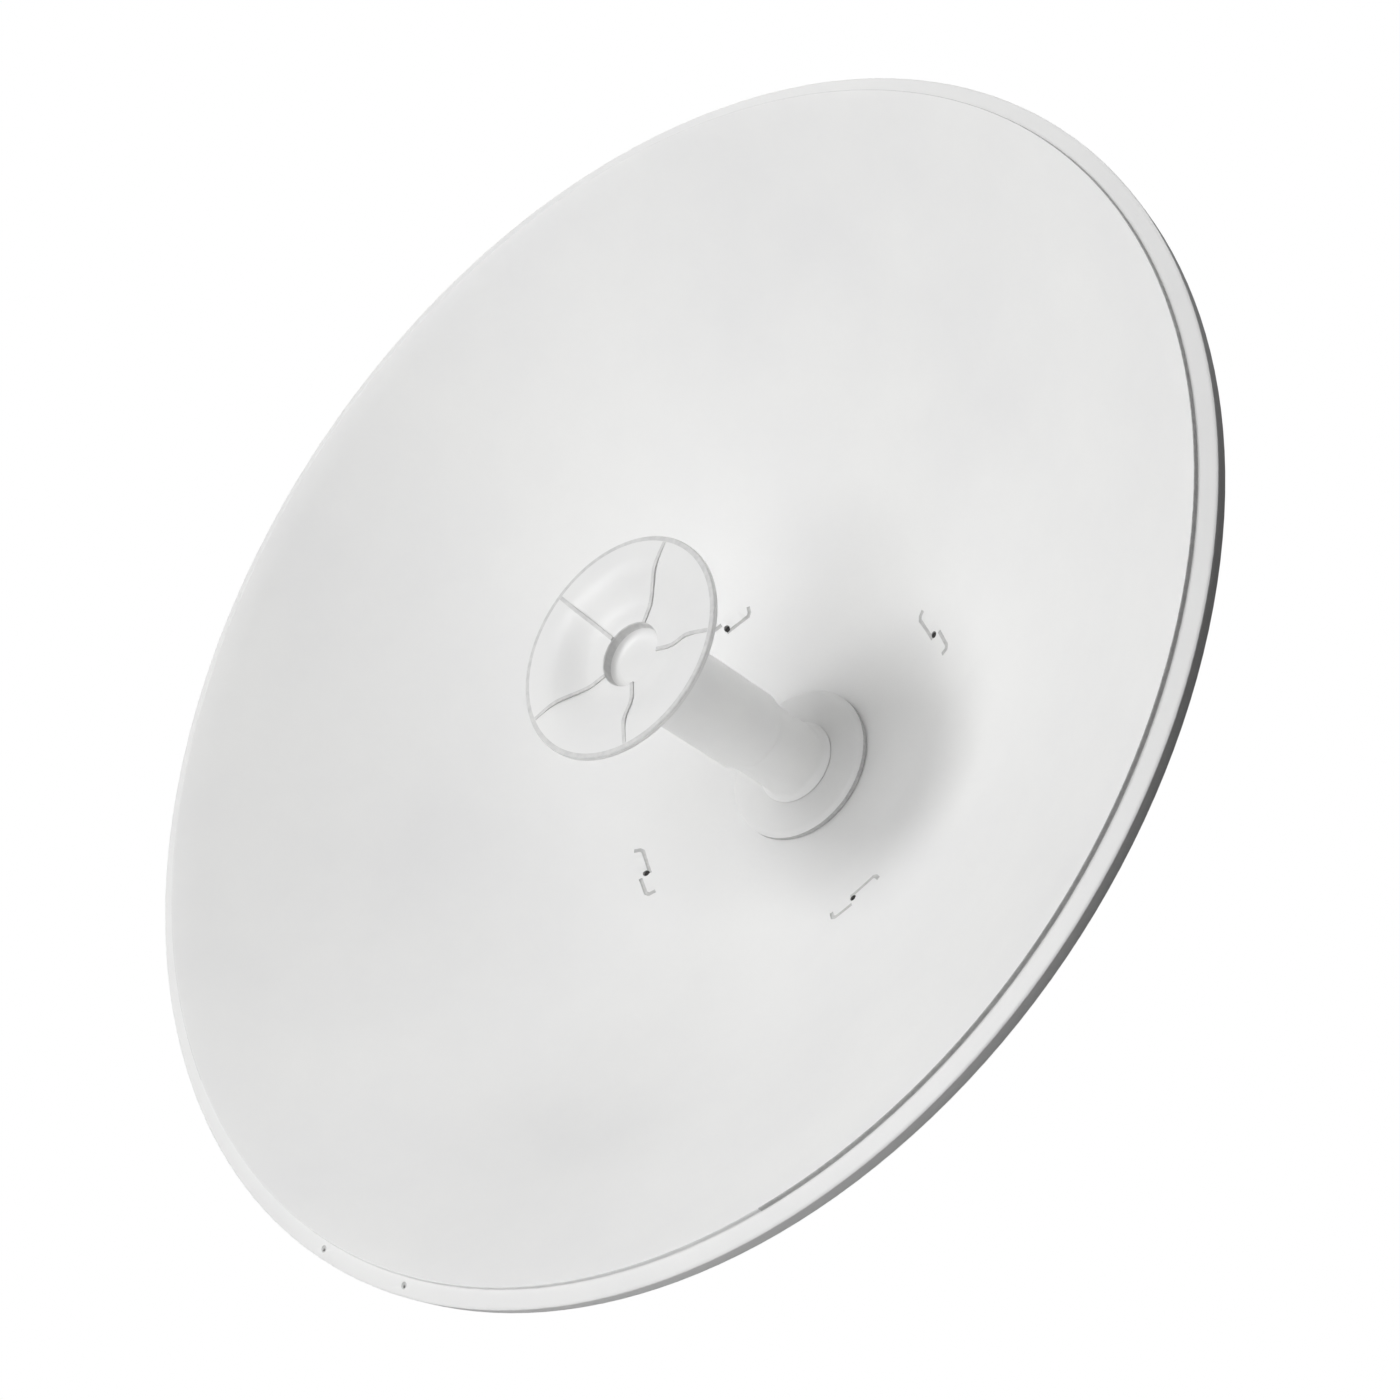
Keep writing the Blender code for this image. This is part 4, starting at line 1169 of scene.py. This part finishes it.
# The back is flat this much further out than the front
BACK_LAG = 0.006
TEETH = 7
TOOTH_START = 0.002
TOOTH_STEP = 0.003
TOOTH_RADIUS = 0.0010
TOOTH_SIDES = 8
apex = POLE_RADIUS * (1.0 + math.sqrt(2.0))
ear_front = apex - MOUTH
ear_back = ear_front + EAR_THICKNESS
jaw_back = apex + JAW_WALL
shoulder = EAR - EAR_REACH
mouth_back = ear_back + (shoulder - MOUTH) * (jaw_back - ear_back) / (shoulder - FLAT - BACK_LAG)
# Distance from the middle, front face and back face at each bend of the jaw
JAW_BENDS = (
    (FLAT, apex - FLAT, jaw_back),
    (FLAT + BACK_LAG, apex - FLAT - BACK_LAG, jaw_back),
    (MOUTH, ear_front, mouth_back),
    (shoulder, ear_front, ear_back),
)
jaw = block("cast_jaw", (-EAR, ear_front, -JAW_HEIGHT / 2.0), (EAR, ear_back, JAW_HEIGHT / 2.0))
for bend in [row[0] for row in JAW_BENDS]:
    for side in (-1.0, 1.0):
        choose(jaw, "FACE", lambda centre, normal: True)
        bpy.ops.mesh.bisect(plane_co=(side * bend, 0.0, 0.0), plane_no=(1.0, 0.0, 0.0))
        bpy.ops.object.mode_set(mode="OBJECT")
for bend, front_y, back_y in JAW_BENDS:
    for start_y, stop_y in ((ear_front, front_y), (ear_back, back_y)):
        choose(jaw, "VERT", lambda co: abs(abs(co.x) - bend) < 0.0001 and abs(co.y - start_y) < 0.0001)
        bpy.ops.transform.translate(value=(0.0, stop_y - start_y, 0.0))
        bpy.ops.object.mode_set(mode="OBJECT")
bevel_edges(jaw, EAR_CORNER, 5,
            lambda a, b: abs(a.y - b.y) > 0.005 and min(abs(a.x), abs(b.x)) > EAR - NEAR)
soften(jaw, CAST_EDGE, 3)
teeth = []
slope_start = Vector((FLAT + TOOTH_START, apex - FLAT - TOOTH_START, 0.0))
slope_step = Vector((TOOTH_STEP, -TOOTH_STEP, 0.0))
for i in range(TEETH):
    spot = slope_start + slope_step * i
    for side in (-1.0, 1.0):
        teeth.append(rod((side * spot.x, spot.y, 0.0), UP, TOOTH_RADIUS,
                         -JAW_HEIGHT, JAW_HEIGHT, TOOTH_SIDES))
combine(jaw, joined(teeth), "DIFFERENCE")
ear_holes = [rod((side * CLAMP_BOLT_X, ear_front, rise * CLAMP_BOLT_Z), REAR,
                 CLAMP_BOLT_RADIUS + BOLT_ROOM, -THROUGH, JAW_DRILL, BOLT_SIDES)
             for side, rise in CLAMP_CORNERS]
combine(jaw, joined(ear_holes), "DIFFERENCE")
settle(jaw)
jaw.data.materials.append(cast_aluminium)
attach(jaw, "root")
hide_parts("rear_jaw")


# The clamp bolts: four long M8 flange bolts from inside the channel through the jaw's ears, each with
# a flange nut behind.
CLAMP_TAIL = 0.016
CLAMP_THREAD = 0.034
CLAMP_NUT = 0.0068
seat_y = web_y - STEEL - SEAT_GAP
nut_y = ear_back + SEAT_GAP
clamp_length = nut_y - seat_y + CLAMP_TAIL
first_side, first_rise = CLAMP_CORNERS[0]
first_place = Vector((first_side * CLAMP_BOLT_X, seat_y, first_rise * CLAMP_BOLT_Z))
nut_place = Vector((first_place.x, nut_y, first_place.z))
clamp_bolt = flange_bolt("clamp_bolt_m8_1", first_place, REAR, CLAMP_BOLT_RADIUS, clamp_length, M8_ACROSS,
                         M8_HEAD, M8_PITCH, clamp_length - CLAMP_THREAD)
clamp_nut = flange_nut("clamp_nut_m8_1", nut_place, REAR, CLAMP_BOLT_RADIUS + THREAD_ROOM, M8_ACROSS,
                       CLAMP_NUT)
clamp_bolt.data.materials.append(zinc_plate)
clamp_nut.data.materials.append(zinc_plate)
for kind, first in (("bolt", clamp_bolt), ("nut", clamp_nut)):
    fasteners = [first]
    for i, (side, rise) in enumerate(CLAMP_CORNERS[1:]):
        shift = ((side - first_side) * CLAMP_BOLT_X, 0.0, (rise - first_rise) * CLAMP_BOLT_Z)
        fasteners.append(copied(first, "clamp_%s_m8_%d" % (kind, i + 2), shift))
    for i, fastener in enumerate(fasteners):
        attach(fastener, "root")
        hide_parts("clamp_%s_%d" % (kind, i + 1))


# The camera stands 1.3 m from the middle of the rim, to the right of the dish's axis and below it, and
# is rolled by 18 degrees, so that it shows the dish as the photograph does.
LENS = 68.32
SENSOR_WIDTH = 36.0
# The columns are the camera's right, up and backward directions and its place
CAMERA_STAND = (
    (0.7279, -0.0400, 0.6846, 0.9187),
    (0.6154, -0.4025, -0.6777, -1.1096),
    (0.3027, 0.9146, -0.2683, -0.3602),
    (0.0, 0.0, 0.0, 1.0),
)
bpy.ops.object.select_all(action="DESELECT")
bpy.ops.object.camera_add(location=(0.0, 0.0, 0.0))
camera = bpy.context.object
camera.data.lens = LENS
camera.data.sensor_width = SENSOR_WIDTH
camera.matrix_world = Matrix(CAMERA_STAND)
bpy.context.scene.camera = camera


# The lamps: a key lamp in front of the dish on its left, softer ones round it that fill the bowl, and
# one for the back. All are large squares, so their shadows are soft.
MIDDLE = Vector((0.0, -0.2, 0.0))
BRACKET = Vector((0.0, -0.1, 0.0))
# Name, place, the point it is turned to, size and power of each lamp
LAMPS = (
    ("key_light", (-0.82, -2.46, 0.0), MIDDLE, 0.8, 22.9),
    ("front_light", (0.45, -2.56, 0.0), MIDDLE, 1.2, 11.8),
    ("low_light", (0.0, -2.38, -1.01), MIDDLE, 1.2, 11.8),
    ("top_light", (0.0, -0.62, 2.36), MIDDLE, 1.2, 14.8),
    ("side_light", (-1.34, -0.97, 1.84), MIDDLE, 1.2, 3.8),
    ("rear_light", (-0.9, 1.4, 0.7), BRACKET, 1.0, 26.0),
)
for name, spot, target, size, power in LAMPS:
    bpy.ops.object.light_add(type="AREA", location=spot, rotation=facing(Vector(spot) - target))
    lamp = bpy.context.object
    lamp.name = name
    lamp.data.size = size
    lamp.data.energy = power


# The room: white where the camera sees it, weak as a light, and stronger in reflections. Towards the
# right and the back it fades to black, as if a dark card stood there, so the rim's edge turns dark.
ROOM_AS_LIGHT = 0.13
ROOM_IN_GLOSS = 0.45
CARD_DIRECTION = (0.8, 0.6, 0.0)
CARD_EDGE = 0.6
world = bpy.data.worlds.new("studio")
bpy.context.scene.world = world
world.use_nodes = True
backdrop = world.node_tree.nodes["Background"]
backdrop.inputs["Color"].default_value = (1.0, 1.0, 1.0, 1.0)
seen = add_node(world, "LightPath", {})
room = add_node(world, "MapRange", {"Value": seen.outputs["Is Glossy Ray"], "To Min": ROOM_AS_LIGHT,
                                    "To Max": ROOM_IN_GLOSS})
way = add_node(world, "TexCoord", {}).outputs["Generated"]
to_card = add_node(world, "VectorMath", {0: way, 1: CARD_DIRECTION}, operation="DOT_PRODUCT")
card = add_node(world, "MapRange", {"Value": to_card.outputs["Value"], "From Min": 0.0,
                                    "From Max": CARD_EDGE, "To Min": 1.0, "To Max": 0.0})
dimmed = add_node(world, "Math", {0: room.outputs["Result"], 1: card.outputs["Result"]},
                  operation="MULTIPLY")
add_node(world, "MapRange", {"Value": seen.outputs["Is Camera Ray"], "To Min": dimmed.outputs["Value"],
                             "To Max": 1.0}, feeds=backdrop.inputs["Strength"])


# The floor: a round of matt white paper, low enough that no lamp stands under it. It glows where it is
# seen or mirrored, so that it is about as pale there as the room.
FLOOR_RADIUS = 8.0
FLOOR_Z = -1.8
FLOOR_TONE = "#F2F2F2"
FLOOR_IN_GLOSS = 0.35
FLOOR_SEEN = 0.75
bpy.ops.object.select_all(action="DESELECT")
bpy.ops.mesh.primitive_circle_add(vertices=96, radius=FLOOR_RADIUS, fill_type="NGON",
                                  location=(0.0, 0.0, FLOOR_Z))
floor = settle(bpy.context.object)
floor.name = "floor"
paper, shader = new_material("pale_paper_floor", Roughness=0.9)[:2]
shader.inputs["Base Color"].default_value = linear(FLOOR_TONE)
shader.inputs["Emission Color"].default_value = linear(FLOOR_TONE)
seen = add_node(paper, "LightPath", {})
mirrored_floor = add_node(paper, "MapRange", {"Value": seen.outputs["Is Glossy Ray"], "To Min": 0.0,
                                              "To Max": FLOOR_IN_GLOSS})
add_node(paper, "MapRange", {"Value": seen.outputs["Is Camera Ray"], "To Max": FLOOR_SEEN,
                             "To Min": mirrored_floor.outputs["Result"]},
         feeds=shader.inputs["Emission Strength"])
floor.data.materials.append(paper)

bpy.context.scene.view_settings.view_transform = "Standard"
